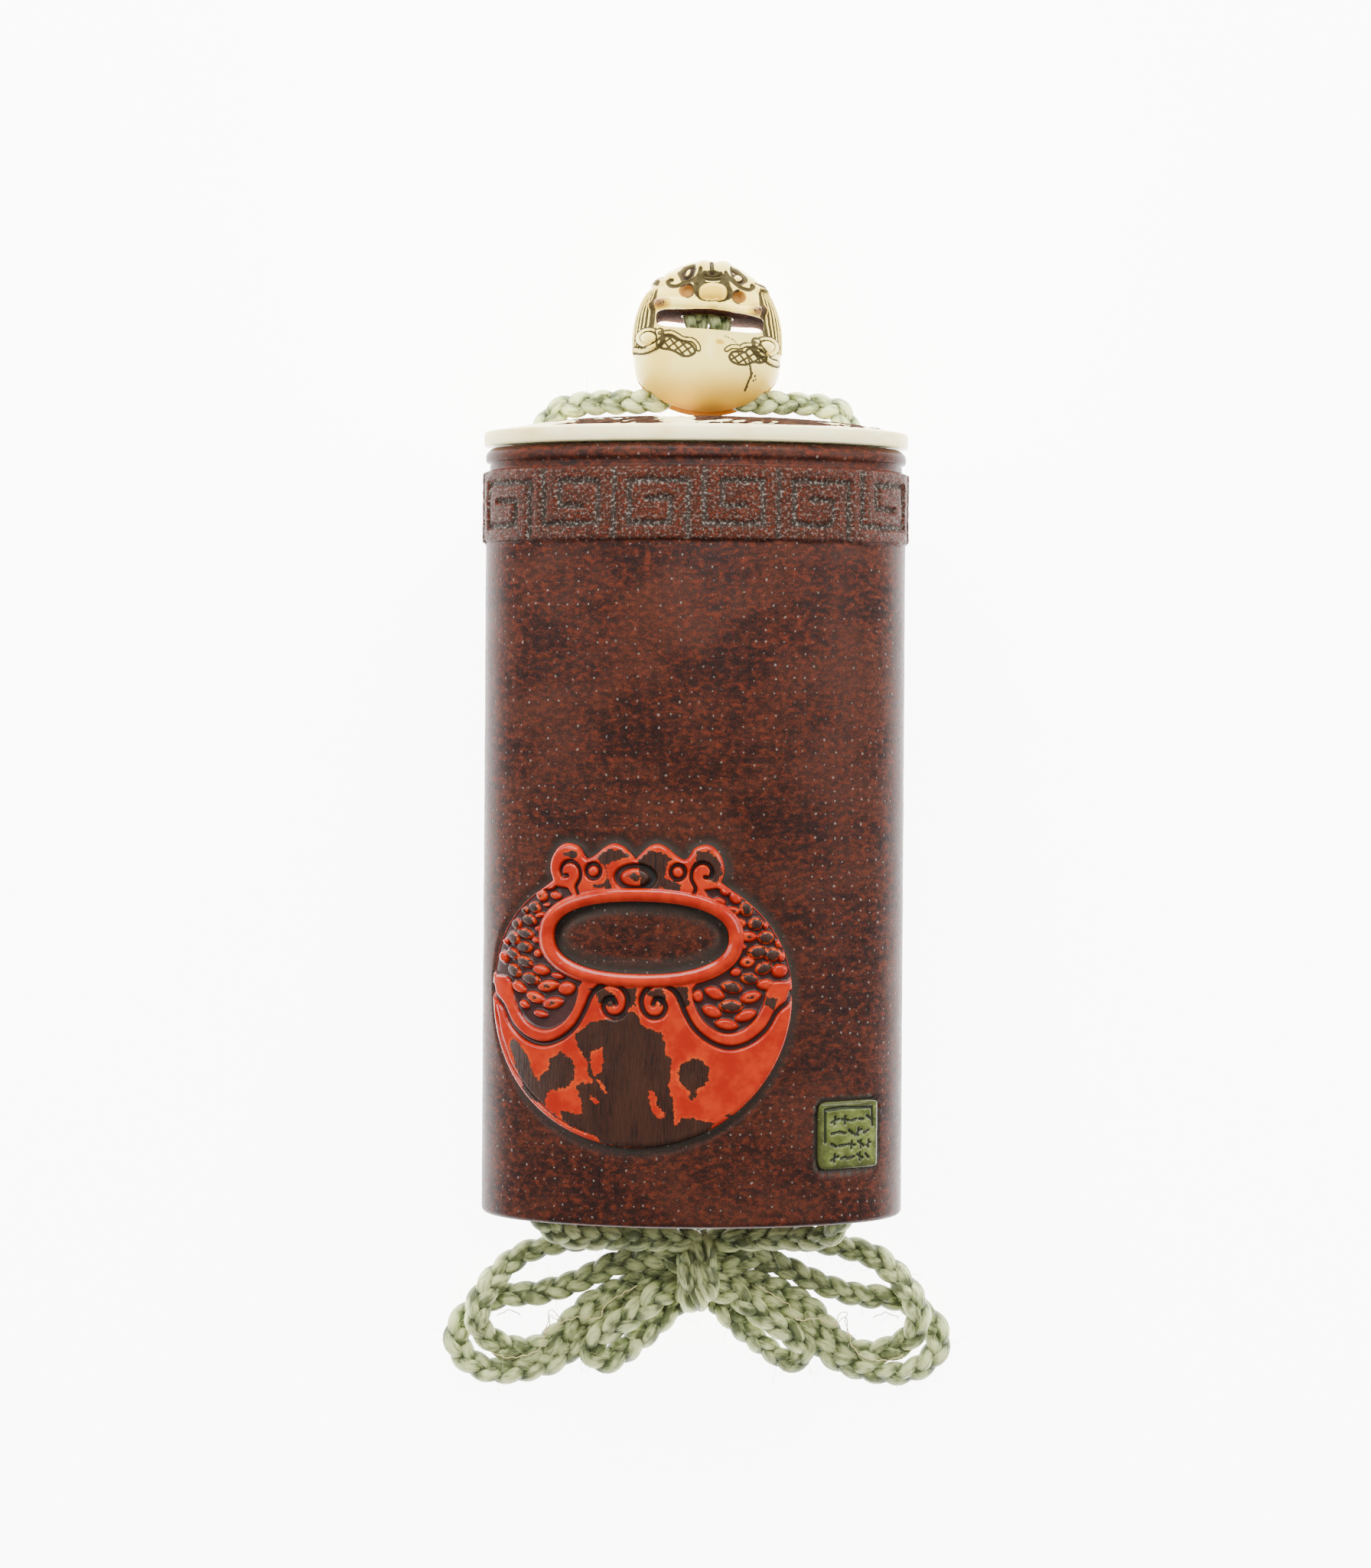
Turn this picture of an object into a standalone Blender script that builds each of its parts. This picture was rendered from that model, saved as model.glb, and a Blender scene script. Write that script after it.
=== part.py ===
"""Tobacco container of lacquered wood with an ivory lid, an ivory fish-drum bead and a braided silk cord.

The container lies on its back: +Z points up out of its front face, +Y runs from the base to the bead,
and the origin is on the floor under the middle of the container and its bead. Lengths are in metres.
"""
import math

import bmesh
import bpy
import numpy as np
from mathutils import Matrix, Vector
from mathutils.geometry import delaunay_2d_cdt

# Container body
BODY_HALF_WIDTH = 0.0278
BODY_HALF_DEPTH = 0.0140
BODY_HEIGHT = 0.1010
BODY_COLUMNS = 44
BASE_EDGE_RADIUS = 0.0008
FLOOR_THICKNESS = 0.0030
WALL_THICKNESS = 0.0032
CAVITY_SQUARENESS = 2.6
CAVITY_SIDES = 24

# Rim roll, neck groove and fret band, as heights along the body and reliefs out of its plain surface
RIM_ROLL_HEIGHT = 0.0020
RIM_ROLL_DROP = 0.0008
NECK_GROOVE_HEIGHT = 0.0011
NECK_GROOVE_DEPTH = 0.0005
FRET_BAND_HEIGHT = 0.0093
FRET_BAND_RELIEF = 0.00045
FRET_BAND_SLOPE = 0.00015
FRET_PAIRS = 6
FRET_PLAIN_PANEL = 0.0071
FRET_LINE_WIDTH = 0.0009
FRET_MARGIN = 0.0019
FRET_SIDE_MARGIN = 0.00103
FRET_TURN_GAP = 0.0023

# Cord and the way it takes through the container
CORD_DIAMETER = 0.0028
CORD_CLEARANCE = 0.00040
CORD_HOLE_X = 0.0206
CHANNEL_WALL = 0.00185
BASE_MOUTH_RADIUS = 0.0038
BASE_MOUTH_HEIGHT = 0.0056
LID_MOUTH_RADIUS = 0.0036
HOLE_SIDES = 12

# Lid
LID_GAP = 0.0003
LID_EDGE_HEIGHT = 0.0019
LID_DOME_HEIGHT = 0.0020
LID_OVERHANG = 0.0003
LID_COLUMNS = 32
SPIGOT_HEIGHT = 0.0026
SPIGOT_WALL = 0.0016
SPIGOT_CLEARANCE = 0.0004

# Fish-drum bead
BEAD_GAP = 0.0010
BEAD_HEIGHT = 0.0206
BEAD_HALF_WIDTH = 0.0099
BEAD_HALF_DEPTH = 0.0090
BEAD_X = 0.0014
BEAD_REST_FLAT = 0.0002
BEAD_TILT = math.radians(-4.0)
MOUTH_WIDTH = 0.0144
MOUTH_HEIGHT = 0.0030
MOUTH_LEVEL = 0.0112
BEAD_PASSAGE_HALF_WIDTH = 0.0034
BEAD_PASSAGE_HALF_DEPTH = 0.0022
BEAD_PASSAGE_TOP = 0.0176
BEAD_HOLLOW_HALF_WIDTH = 0.0066
BEAD_HOLLOW_HALF_DEPTH = 0.0044
BEAD_HOLLOW_HALF_HEIGHT = 0.0053
BEAD_HOLLOW_LEVEL = 0.0047
BEAD_NOTCH_HALF_DEPTH = 0.0036
BEAD_NOTCH_HEIGHT = 0.0046

# Fish-drum relief, set in a pocket round the front of the body
RELIEF_HALF_SIZE = 0.0202
RELIEF_ACROSS = -0.0074
RELIEF_UP = 0.0300
RELIEF_PLATE = 0.0011
RELIEF_ROLL = 0.0015
RELIEF_ROLL_WIDTH = 0.0016
RELIEF_EDGE = 0.0007
RELIEF_EDGE_WIDTH = 0.0004
RELIEF_GROUND = 0.0004
RELIEF_LINE_WIDTH = 0.0008
RELIEF_SLOT_HALF_WIDTH = 0.01135
RELIEF_SLOT_HALF_HEIGHT = 0.00467
RELIEF_SLOT_ACROSS = 0.00055
RELIEF_SLOT_UP = 0.00737
RELIEF_SLOT_SIDES = 26
RELIEF_SINK = 0.0002
SCALE_PITCH_ACROSS = 0.00270
SCALE_PITCH_UP = 0.00190

# Seal inlay
SEAL_HALF_WIDTH = 0.0045
SEAL_HALF_HEIGHT = 0.0044
SEAL_ACROSS = 0.0210
SEAL_UP = 0.0117
SEAL_RELIEF = 0.0004
SEAL_STROKE_DEPTH = 0.0003
SEAL_STROKE_WIDTH = 0.0005
SEAL_STROKE_ROWS = 4

POCKET_DEPTH = 0.0005
INLAY_GAP = 0.0003

# Bow below the base, placed from the middle of the base
BOW_X = 0.0010
BOW_LAYERS_HEIGHT = 0.0050
KNOT_HALF_WIDTH = 0.0033
KNOT_HALF_HEIGHT = 0.0054
KNOT_DEPTH = 0.0080
KNOT_DROP = 0.0096

TOTAL_LENGTH = BODY_HEIGHT + LID_GAP + LID_EDGE_HEIGHT + LID_DOME_HEIGHT + BEAD_GAP + BEAD_HEIGHT
BASE_Y = -TOTAL_LENGTH / 2
RIM_Y = BASE_Y + BODY_HEIGHT
LID_BOTTOM_Y = RIM_Y + LID_GAP
LID_EDGE_Y = LID_BOTTOM_Y + LID_EDGE_HEIGHT
LID_TOP_Y = LID_EDGE_Y + LID_DOME_HEIGHT
BEAD_BOTTOM_Y = LID_TOP_Y + BEAD_GAP
COLUMN_STEP = math.tau / BODY_COLUMNS
BODY_Z = BODY_HALF_DEPTH * math.cos(COLUMN_STEP)
BEAD_Z = BEAD_HALF_DEPTH - BEAD_REST_FLAT
CHANNEL_RADIUS = CORD_DIAMETER / 2 + CORD_CLEARANCE
CAVITY_HALF_WIDTH = CORD_HOLE_X - CHANNEL_RADIUS - CHANNEL_WALL
CAVITY_HALF_DEPTH = BODY_HALF_DEPTH - WALL_THICKNESS
FRET_BAND_LOW = BODY_HEIGHT - RIM_ROLL_HEIGHT - NECK_GROOVE_HEIGHT - FRET_BAND_HEIGHT
FRET_BAND_HIGH = FRET_BAND_LOW + FRET_BAND_HEIGHT
BOOLEAN_OVERRUN = 0.0010
WELD = 0.000001
TILT_UNDONE = Matrix.Rotation(-BEAD_TILT, 2)
TILT = Matrix.Rotation(BEAD_TILT, 2)
QUARTER_TURN_ABOUT_Y = Matrix.Rotation(math.pi / 2, 3, "Y")


def clear_scene():
    for item in list(bpy.data.objects):
        bpy.data.objects.remove(item, do_unlink=True)


def material(name, colour, roughness):
    """A plain coloured finish."""
    finish = bpy.data.materials.new(name)
    finish.use_nodes = True
    shader = finish.node_tree.nodes["Principled BSDF"]
    shader.inputs["Base Color"].default_value = (*colour, 1.0)
    shader.inputs["Roughness"].default_value = roughness
    return finish


def add_object(name, bm, finish):
    """Close up a bmesh, turn its faces outwards and give it a name and a finish."""
    bmesh.ops.remove_doubles(bm, verts=bm.verts, dist=WELD)
    bmesh.ops.recalc_face_normals(bm, faces=bm.faces)
    if bm.calc_volume(signed=True) < 0:
        bmesh.ops.reverse_faces(bm, faces=bm.faces)
    mesh = bpy.data.meshes.new(name)
    bm.to_mesh(mesh)
    bm.free()
    item = bpy.data.objects.new(name, mesh)
    bpy.context.collection.objects.link(item)
    if finish is not None:
        mesh.materials.append(finish)
    mesh.shade_smooth()
    mesh.set_sharp_from_angle(angle=math.radians(35))
    return item


def add_cutter(name, bm):
    item = add_object(name, bm, None)
    item.hide_render = True
    item.display_type = "WIRE"
    return item


def combine(item, other, operation):
    step = item.modifiers.new(f"{operation.lower()} {other.name}", "BOOLEAN")
    step.operation = operation
    step.solver = "EXACT"
    step.object = other


# The oval: arc length round the plain body, from the middle of the front, positive towards +X
OVAL_SAMPLES = 2881
oval_angles = np.linspace(-math.pi, math.pi, OVAL_SAMPLES)
oval_speed = np.hypot(BODY_HALF_WIDTH * np.cos(oval_angles), BODY_HALF_DEPTH * np.sin(oval_angles))
oval_steps = (oval_speed[1:] + oval_speed[:-1]) / 2 * np.diff(oval_angles)
oval_arc = np.concatenate([[0.0], np.cumsum(oval_steps)])
oval_arc -= oval_arc[-1] / 2
HALF_ROUND = float(oval_arc[-1])
FRET_PAIR_WIDTH = (2 * HALF_ROUND - FRET_PLAIN_PANEL) / FRET_PAIRS


def on_oval(across, up, relief):
    """Point at an arc length round the body, a height along it and a relief out of its plain surface."""
    angle = float(np.interp(across, oval_arc, oval_angles))
    outward = Vector((BODY_HALF_DEPTH * math.sin(angle), 0, BODY_HALF_WIDTH * math.cos(angle))).normalized()
    x = BODY_HALF_WIDTH * math.sin(angle) + relief * outward.x
    z = BODY_Z + BODY_HALF_DEPTH * math.cos(angle) + relief * outward.z
    return Vector((x, BASE_Y + up, max(z, 0.0)))


def column_places(count):
    """Arc lengths of columns at equal angles round the oval."""
    angles = np.linspace(-math.pi, math.pi, count + 1)
    return [float(place) for place in np.interp(angles, oval_angles, oval_arc)]


# Flat shapes, as lists of (across, up) points
def ellipse(across, up, half_width, half_height, count, squareness=2.0, start=0.0, stop=math.tau):
    """Points along a superellipse, from a start angle to a stop angle."""
    points = []
    whole = abs(stop - start) > math.tau - WELD
    for index in range(count):
        angle = start + (stop - start) * index / (count if whole else count - 1)
        cosine = math.cos(angle)
        sine = math.sin(angle)
        width = math.copysign(abs(cosine) ** (2 / squareness), cosine)
        height = math.copysign(abs(sine) ** (2 / squareness), sine)
        points.append((across + half_width * width, up + half_height * height))
    return points


def smooth_curve(points, steps):
    """Catmull-Rom curve through points, with a number of steps in each span."""
    ends = [points[0]] + list(points) + [points[-1]]
    curve = []
    for a, b, c, d in zip(ends, ends[1:], ends[2:], ends[3:]):
        for step in range(steps):
            t = step / steps
            place = []
            for p, q, r, s in zip(a, b, c, d):
                square = (2 * p - 5 * q + 4 * r - s) * t ** 2
                cube = (3 * q - p - 3 * r + s) * t ** 3
                place.append(0.5 * (2 * q + (r - p) * t + square + cube))
            curve.append(tuple(place))
    curve.append(tuple(points[-1]))
    return curve


def side_step(points, index, closed):
    """Unit side vector of a line at a point, lengthened at a corner so that its edges stay parallel."""
    last = len(points) - 1
    before = points[index - 1] if closed or index > 0 else points[index]
    after = points[(index + 1) % len(points)] if closed or index < last else points[index]
    one = Vector(points[index]) - Vector(before)
    two = Vector(after) - Vector(points[index])
    one = two if one.length < WELD else one
    two = one if two.length < WELD else two
    one.normalize()
    two.normalize()
    middle = (one + two).normalized()
    stretch = 1.0 / max(middle.dot(one), 0.6)
    return Vector((-middle.y, middle.x)) * stretch


def shift_line(points, distance, closed=False):
    """A line moved sideways, to its left for a positive distance."""
    moved = []
    for index, point in enumerate(points):
        place = Vector(point) + side_step(points, index, closed) * distance
        moved.append((place.x, place.y))
    return moved


def ribbon(points, width):
    """Outline of a groove of even width along a line."""
    return shift_line(points, width / 2) + shift_line(points, -width / 2)[::-1]


def mirrored(points, axis=0.0):
    return [(2 * axis - across, up) for across, up in points][::-1]


def inside(point, loop):
    """Whether a flat point lies in a closed outline, by counting the edges to its right."""
    across, up = point
    hit = False
    for (a, b), (c, d) in zip(loop, loop[1:] + loop[:1]):
        if (b > up) != (d > up) and across < (c - a) * (up - b) / (d - b) + a:
            hit = not hit
    return hit


def triangulate(loops, lines):
    """Divide the flat area that closed loops and straight lines enclose into triangles."""
    points = []
    edges = []
    for loop in loops:
        first = len(points)
        points += [Vector(point) for point in loop]
        edges += [(first + i, first + (i + 1) % len(loop)) for i in range(len(loop))]
    for start, stop in lines:
        edges.append((len(points), len(points) + 1))
        points += [Vector(start), Vector(stop)]
    result = delaunay_2d_cdt(points, edges, [], 1, WELD / 10, False)
    return result[0], [tuple(face) for face in result[2]]


def centre(points, triangle):
    return sum((points[index] for index in triangle), Vector((0.0, 0.0))) / 3


def raise_surface(bm, flat_points, triangles, relief):
    """Lift triangles onto the oval, each to its own relief, with walls where two reliefs meet.

    relief(point, middle) gives the relief of a corner of a triangle whose middle is given.
    The result is the list of open edges, each as its two flat points with their reliefs.
    """
    corners = {}
    edges = {}

    def corner(index, height):
        key = (index, round(height, 7))
        if key not in corners:
            point = flat_points[index]
            corners[key] = bm.verts.new(on_oval(point[0], point[1], height))
        return corners[key]

    for triangle in triangles:
        middle = centre(flat_points, triangle)
        heights = [relief(flat_points[i], middle) for i in triangle]
        bm.faces.new([corner(i, height) for i, height in zip(triangle, heights)])
        for k in range(3):
            one = (triangle[k], heights[k])
            two = (triangle[(k + 1) % 3], heights[(k + 1) % 3])
            pair = tuple(sorted((one[0], two[0])))
            edges.setdefault(pair, []).append((one, two))
    open_edges = []
    for sides in edges.values():
        if len(sides) == 1:
            open_edges.append(sides[0])
            continue
        (a, b), (c, d) = sides
        wall = [corner(*b), corner(*a), corner(*d), corner(*c)]
        distinct = list(dict.fromkeys(wall))
        if len(distinct) > 2:
            bm.faces.new(distinct)
    return open_edges


# Outlines of the fret, the relief and the seal
def fret_lines():
    """Middle lines of one pair of the fret's grooves: a spiral, a bar and the spiral turned round."""
    low = FRET_MARGIN
    high = FRET_BAND_HEIGHT - FRET_MARGIN
    beyond = FRET_BAND_SLOPE * 2
    left = FRET_SIDE_MARGIN
    right = FRET_PAIR_WIDTH / 2 - 2 * FRET_SIDE_MARGIN
    inner_left = left + FRET_TURN_GAP
    inner_low = low + FRET_TURN_GAP
    inner_right = right - FRET_TURN_GAP
    spiral = [(left, FRET_BAND_HEIGHT + beyond), (left, low), (right, low), (right, high), (inner_left, high),
              (inner_left, inner_low), (inner_right, inner_low)]
    turned = [(FRET_PAIR_WIDTH - across, FRET_BAND_HEIGHT - up) for across, up in spiral]
    bar = [(FRET_PAIR_WIDTH / 2, -beyond), (FRET_PAIR_WIDTH / 2, FRET_BAND_HEIGHT + beyond)]
    return spiral, bar, turned


def fret_grooves():
    """Outlines of all grooves of the fret band; the back, where the container lies, stays plain."""
    grooves = []
    for pair in range(FRET_PAIRS):
        start = (pair - FRET_PAIRS / 2) * FRET_PAIR_WIDTH
        for line in fret_lines():
            placed = [(start + across, FRET_BAND_LOW + up) for across, up in line]
            grooves.append(ribbon(placed, FRET_LINE_WIDTH))
    return grooves


# Half of the fish drum's head, from the notch on its axis to the end of its ear, as shares of its half size
HEAD = ((0.0, 0.862), (0.040, 0.907), (0.087, 0.947), (0.144, 0.961), (0.199, 0.937), (0.252, 0.893),
        (0.310, 0.862), (0.343, 0.893), (0.374, 0.937), (0.446, 0.958), (0.504, 0.933), (0.547, 0.869),
        (0.561, 0.791), (0.540, 0.720))
FLANK_CENTRE = 0.13
FLANK_WIDTH = 0.87
FLANK_HEIGHT = 0.80
BELLY_HEIGHT = 0.97
# Right border groove of the belly, ending in its spiral
BORDER = ((0.965, -0.040), (0.892, -0.104), (0.834, -0.203), (0.748, -0.281), (0.650, -0.322),
          (0.561, -0.324), (0.461, -0.281), (0.374, -0.203), (0.317, -0.104), (0.274, -0.005), (0.223, 0.050),
          (0.152, 0.070), (0.082, 0.046), (0.044, -0.020), (0.056, -0.096), (0.104, -0.138), (0.166, -0.130),
          (0.196, -0.080), (0.176, -0.030), (0.134, -0.024))
# Curl of the right ear
EAR = ((0.385, 0.690), (0.356, 0.750), (0.367, 0.812), (0.410, 0.852), (0.461, 0.850), (0.494, 0.808),
       (0.486, 0.754), (0.444, 0.748))
# Lower lobe of the right field of scales
LOBE = ((0.958, 0.090), (0.849, 0.074), (0.808, -0.061), (0.748, -0.161), (0.662, -0.225), (0.561, -0.239),
        (0.461, -0.189), (0.395, -0.104), (0.366, -0.019), (0.360, 0.040))
JEWEL_UP = 0.748
JEWEL_RING = (0.140, 0.092)
JEWEL_BALL = (0.092, 0.056)
EYE = (0.268, 0.783)
EYE_RING = (0.060, 0.062)
EYE_BALL = (0.032, 0.034)


def relief_shape(points):
    """Shares of the fish drum's half size as places round and along the body."""
    return [(RELIEF_ACROSS + RELIEF_HALF_SIZE * across, RELIEF_UP + RELIEF_HALF_SIZE * up)
            for across, up in points]


def relief_outline():
    head = smooth_curve(HEAD, 2)
    flank = ellipse(FLANK_CENTRE, 0, FLANK_WIDTH, FLANK_HEIGHT, 9,
                    start=math.radians(56), stop=math.radians(4))
    belly = ellipse(0, 0, 1, BELLY_HEIGHT, 14, start=math.radians(-4), stop=math.radians(-90))
    half = head + flank + belly
    other = mirrored(half)
    return relief_shape(half + other[1:-1])[::-1]


def relief_slot(growth, count=RELIEF_SLOT_SIDES):
    return ellipse(RELIEF_ACROSS + RELIEF_SLOT_ACROSS, RELIEF_UP + RELIEF_SLOT_UP,
                   RELIEF_SLOT_HALF_WIDTH + growth, RELIEF_SLOT_HALF_HEIGHT + growth, count, squareness=2.3)


def scale_field(side):
    """Sunk ground of one field of scales, between the slot's roll, the flank and the border."""
    inset = 0.022
    top = [(0.432, 0.672), (0.510, 0.684)]
    flank = ellipse(FLANK_CENTRE, 0, FLANK_WIDTH - inset, FLANK_HEIGHT - inset, 9,
                    start=math.radians(54), stop=math.radians(8))
    roll = (RELIEF_ROLL_WIDTH + INLAY_GAP) / RELIEF_HALF_SIZE
    slot = ellipse(side * RELIEF_SLOT_ACROSS / RELIEF_HALF_SIZE, RELIEF_SLOT_UP / RELIEF_HALF_SIZE,
                   RELIEF_SLOT_HALF_WIDTH / RELIEF_HALF_SIZE + roll,
                   RELIEF_SLOT_HALF_HEIGHT / RELIEF_HALF_SIZE + roll,
                   11, squareness=2.3, start=math.radians(-60), stop=math.radians(52))
    field = top + flank + list(LOBE) + slot
    if side < 0:
        field = mirrored(field)
    return relief_shape(field)


def scales(field):
    """Lozenges in staggered rows that lean with the flank, kept where they lie wholly in their field."""
    middle = RELIEF_ACROSS
    side = 1 if sum(across for across, _ in field) / len(field) > middle else -1
    lozenges = []
    rows = int(2 * RELIEF_HALF_SIZE / SCALE_PITCH_UP)
    columns = int(2 * RELIEF_HALF_SIZE / SCALE_PITCH_ACROSS)
    for row in range(rows):
        up = RELIEF_UP - RELIEF_HALF_SIZE + row * SCALE_PITCH_UP
        for column in range(columns):
            reach = (column + 0.5 * (row % 2)) * SCALE_PITCH_ACROSS
            lean = 0.34 * side * reach
            point = Vector((middle + side * reach, up - side * lean * 0.9))
            wide = Vector((0.40 * SCALE_PITCH_ACROSS * side, -0.16 * SCALE_PITCH_UP))
            tall = Vector((0.10 * SCALE_PITCH_ACROSS * side, 0.72 * SCALE_PITCH_UP))
            corners = [point + wide, point + tall, point - wide, point - tall]
            if all(inside((1.12 * c - 0.12 * point), field) for c in corners):
                lozenges.append([(c.x, c.y) for c in corners])
    return lozenges


def seal_strokes():
    """A thin border and rows of short strokes that stand for writing and aren't letters."""
    reach_x = SEAL_HALF_WIDTH * 0.82
    reach_y = SEAL_HALF_HEIGHT * 0.82
    corner = (SEAL_ACROSS - reach_x, SEAL_UP - reach_y * 0.2)
    border = [corner, (corner[0], SEAL_UP + reach_y), (SEAL_ACROSS + reach_x, SEAL_UP + reach_y)]
    strokes = [ribbon(border, SEAL_STROKE_WIDTH * 0.7)]
    for row in range(SEAL_STROKE_ROWS):
        up = SEAL_UP + reach_y * (0.52 - 0.46 * row)
        for column, share in enumerate((-0.62, -0.12, 0.38)):
            length = SEAL_HALF_WIDTH * (0.34 if (row + column) % 2 else 0.24)
            start = SEAL_ACROSS + reach_x * share
            rise = SEAL_STROKE_WIDTH * (0.3 if column == 1 else -0.2)
            strokes.append(ribbon([(start, up), (start + length, up + rise)], SEAL_STROKE_WIDTH))
    return strokes


def seal_outline(growth):
    half_width = SEAL_HALF_WIDTH + growth
    half_height = SEAL_HALF_HEIGHT + growth
    return ellipse(SEAL_ACROSS, SEAL_UP, half_width, half_height, 24, squareness=9.0)


# Container body
def body_rows():
    """Heights along the body with the relief of its turned profile there."""
    edge = BASE_EDGE_RADIUS
    rows = [(0.0, -edge), (edge, 0.0)]
    rows += [(FRET_BAND_LOW - FRET_BAND_SLOPE, 0.0), (FRET_BAND_LOW, FRET_BAND_RELIEF)]
    rows += [(FRET_BAND_HIGH, FRET_BAND_RELIEF), (FRET_BAND_HIGH + FRET_BAND_SLOPE, 0.0)]
    rows += [(FRET_BAND_HIGH + 0.4 * NECK_GROOVE_HEIGHT, -NECK_GROOVE_DEPTH)]
    roll = BODY_HEIGHT - RIM_ROLL_HEIGHT
    rows += [(roll, -NECK_GROOVE_DEPTH), (roll + 0.3 * RIM_ROLL_HEIGHT, 0.0)]
    rows += [(roll + 0.75 * RIM_ROLL_HEIGHT, -0.15 * RIM_ROLL_DROP)]
    rows += [(BODY_HEIGHT, -RIM_ROLL_DROP)]
    return rows


def build_outer_body():
    rows = body_rows()
    heights = [row[0] for row in rows]
    reliefs = [row[1] for row in rows]
    columns = column_places(BODY_COLUMNS)
    lines = [((column, 0.0), (column, BODY_HEIGHT)) for column in columns]
    lines += [((-HALF_ROUND, height), (HALF_ROUND, height)) for height in heights]
    grooves = fret_grooves()
    drum_pocket = shift_line(relief_outline(), -INLAY_GAP, closed=True)
    drum_island = relief_slot(-INLAY_GAP)
    seal_pocket = seal_outline(INLAY_GAP)
    points, triangles = triangulate(grooves + [drum_pocket, drum_island, seal_pocket], lines)

    def relief(point, middle):
        height = float(np.interp(point[1], heights, reliefs))
        if FRET_BAND_LOW - FRET_BAND_SLOPE < middle.y < FRET_BAND_HIGH + FRET_BAND_SLOPE:
            near = [groove for groove in grooves if abs(groove[0][0] - middle.x) < FRET_PAIR_WIDTH]
            if any(inside(middle, groove) for groove in near):
                return min(height, 0.0)
        if inside(middle, seal_pocket):
            return -POCKET_DEPTH
        if inside(middle, drum_pocket) and not inside(middle, drum_island):
            return -POCKET_DEPTH
        return height

    bm = bmesh.new()
    raise_surface(bm, points, triangles, relief)
    bmesh.ops.remove_doubles(bm, verts=bm.verts, dist=WELD)
    rims = [edge for edge in bm.edges if edge.is_boundary]
    bmesh.ops.holes_fill(bm, edges=rims, sides=0)
    return bm


def spun_cutter(name, x, z, profile):
    """A round cutter along Y, from pairs of a height along Y and a radius."""
    bm = bmesh.new()
    rings = []
    for y, radius in profile:
        rings.append([bm.verts.new((x + radius * math.cos(math.tau * k / HOLE_SIDES), y,
                                    z + radius * math.sin(math.tau * k / HOLE_SIDES)))
                      for k in range(HOLE_SIDES)])
    for lower, upper in zip(rings, rings[1:]):
        for k in range(HOLE_SIDES):
            following = (k + 1) % HOLE_SIDES
            bm.faces.new((lower[k], lower[following], upper[following], upper[k]))
    bm.faces.new(rings[0])
    bm.faces.new(rings[-1])
    return add_cutter(name, bm)


def prism(bm, loop, low, high):
    """A straight block along Y over an outline of (x, z) points."""
    bottom = [bm.verts.new((x, low, z)) for x, z in loop]
    top = [bm.verts.new((x, high, z)) for x, z in loop]
    bm.faces.new(bottom)
    bm.faces.new(top)
    for k in range(len(loop)):
        following = (k + 1) % len(loop)
        bm.faces.new((bottom[k], bottom[following], top[following], top[k]))


def cavity_outline(shrink):
    return ellipse(0.0, BODY_Z, CAVITY_HALF_WIDTH - shrink, CAVITY_HALF_DEPTH - shrink, CAVITY_SIDES,
                   squareness=CAVITY_SQUARENESS)


def build_container():
    finish = material("mottled lacquer", (0.10, 0.028, 0.018), 0.35)
    body = add_object("container_body", build_outer_body(), finish)
    cavity = bmesh.new()
    prism(cavity, cavity_outline(0.0), BASE_Y + FLOOR_THICKNESS, RIM_Y + BOOLEAN_OVERRUN)
    combine(body, add_cutter("cutter cavity", cavity), "DIFFERENCE")
    for side in (-1, 1):
        profile = [(BASE_Y - BOOLEAN_OVERRUN, BASE_MOUTH_RADIUS), (BASE_Y, BASE_MOUTH_RADIUS),
                   (BASE_Y + BASE_MOUTH_HEIGHT / 2, 0.4 * BASE_MOUTH_RADIUS + 0.6 * CHANNEL_RADIUS),
                   (BASE_Y + BASE_MOUTH_HEIGHT, CHANNEL_RADIUS), (RIM_Y + BOOLEAN_OVERRUN, CHANNEL_RADIUS)]
        channel = spun_cutter(f"cutter channel {side}", side * CORD_HOLE_X, BODY_Z, profile)
        combine(body, channel, "DIFFERENCE")


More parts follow.
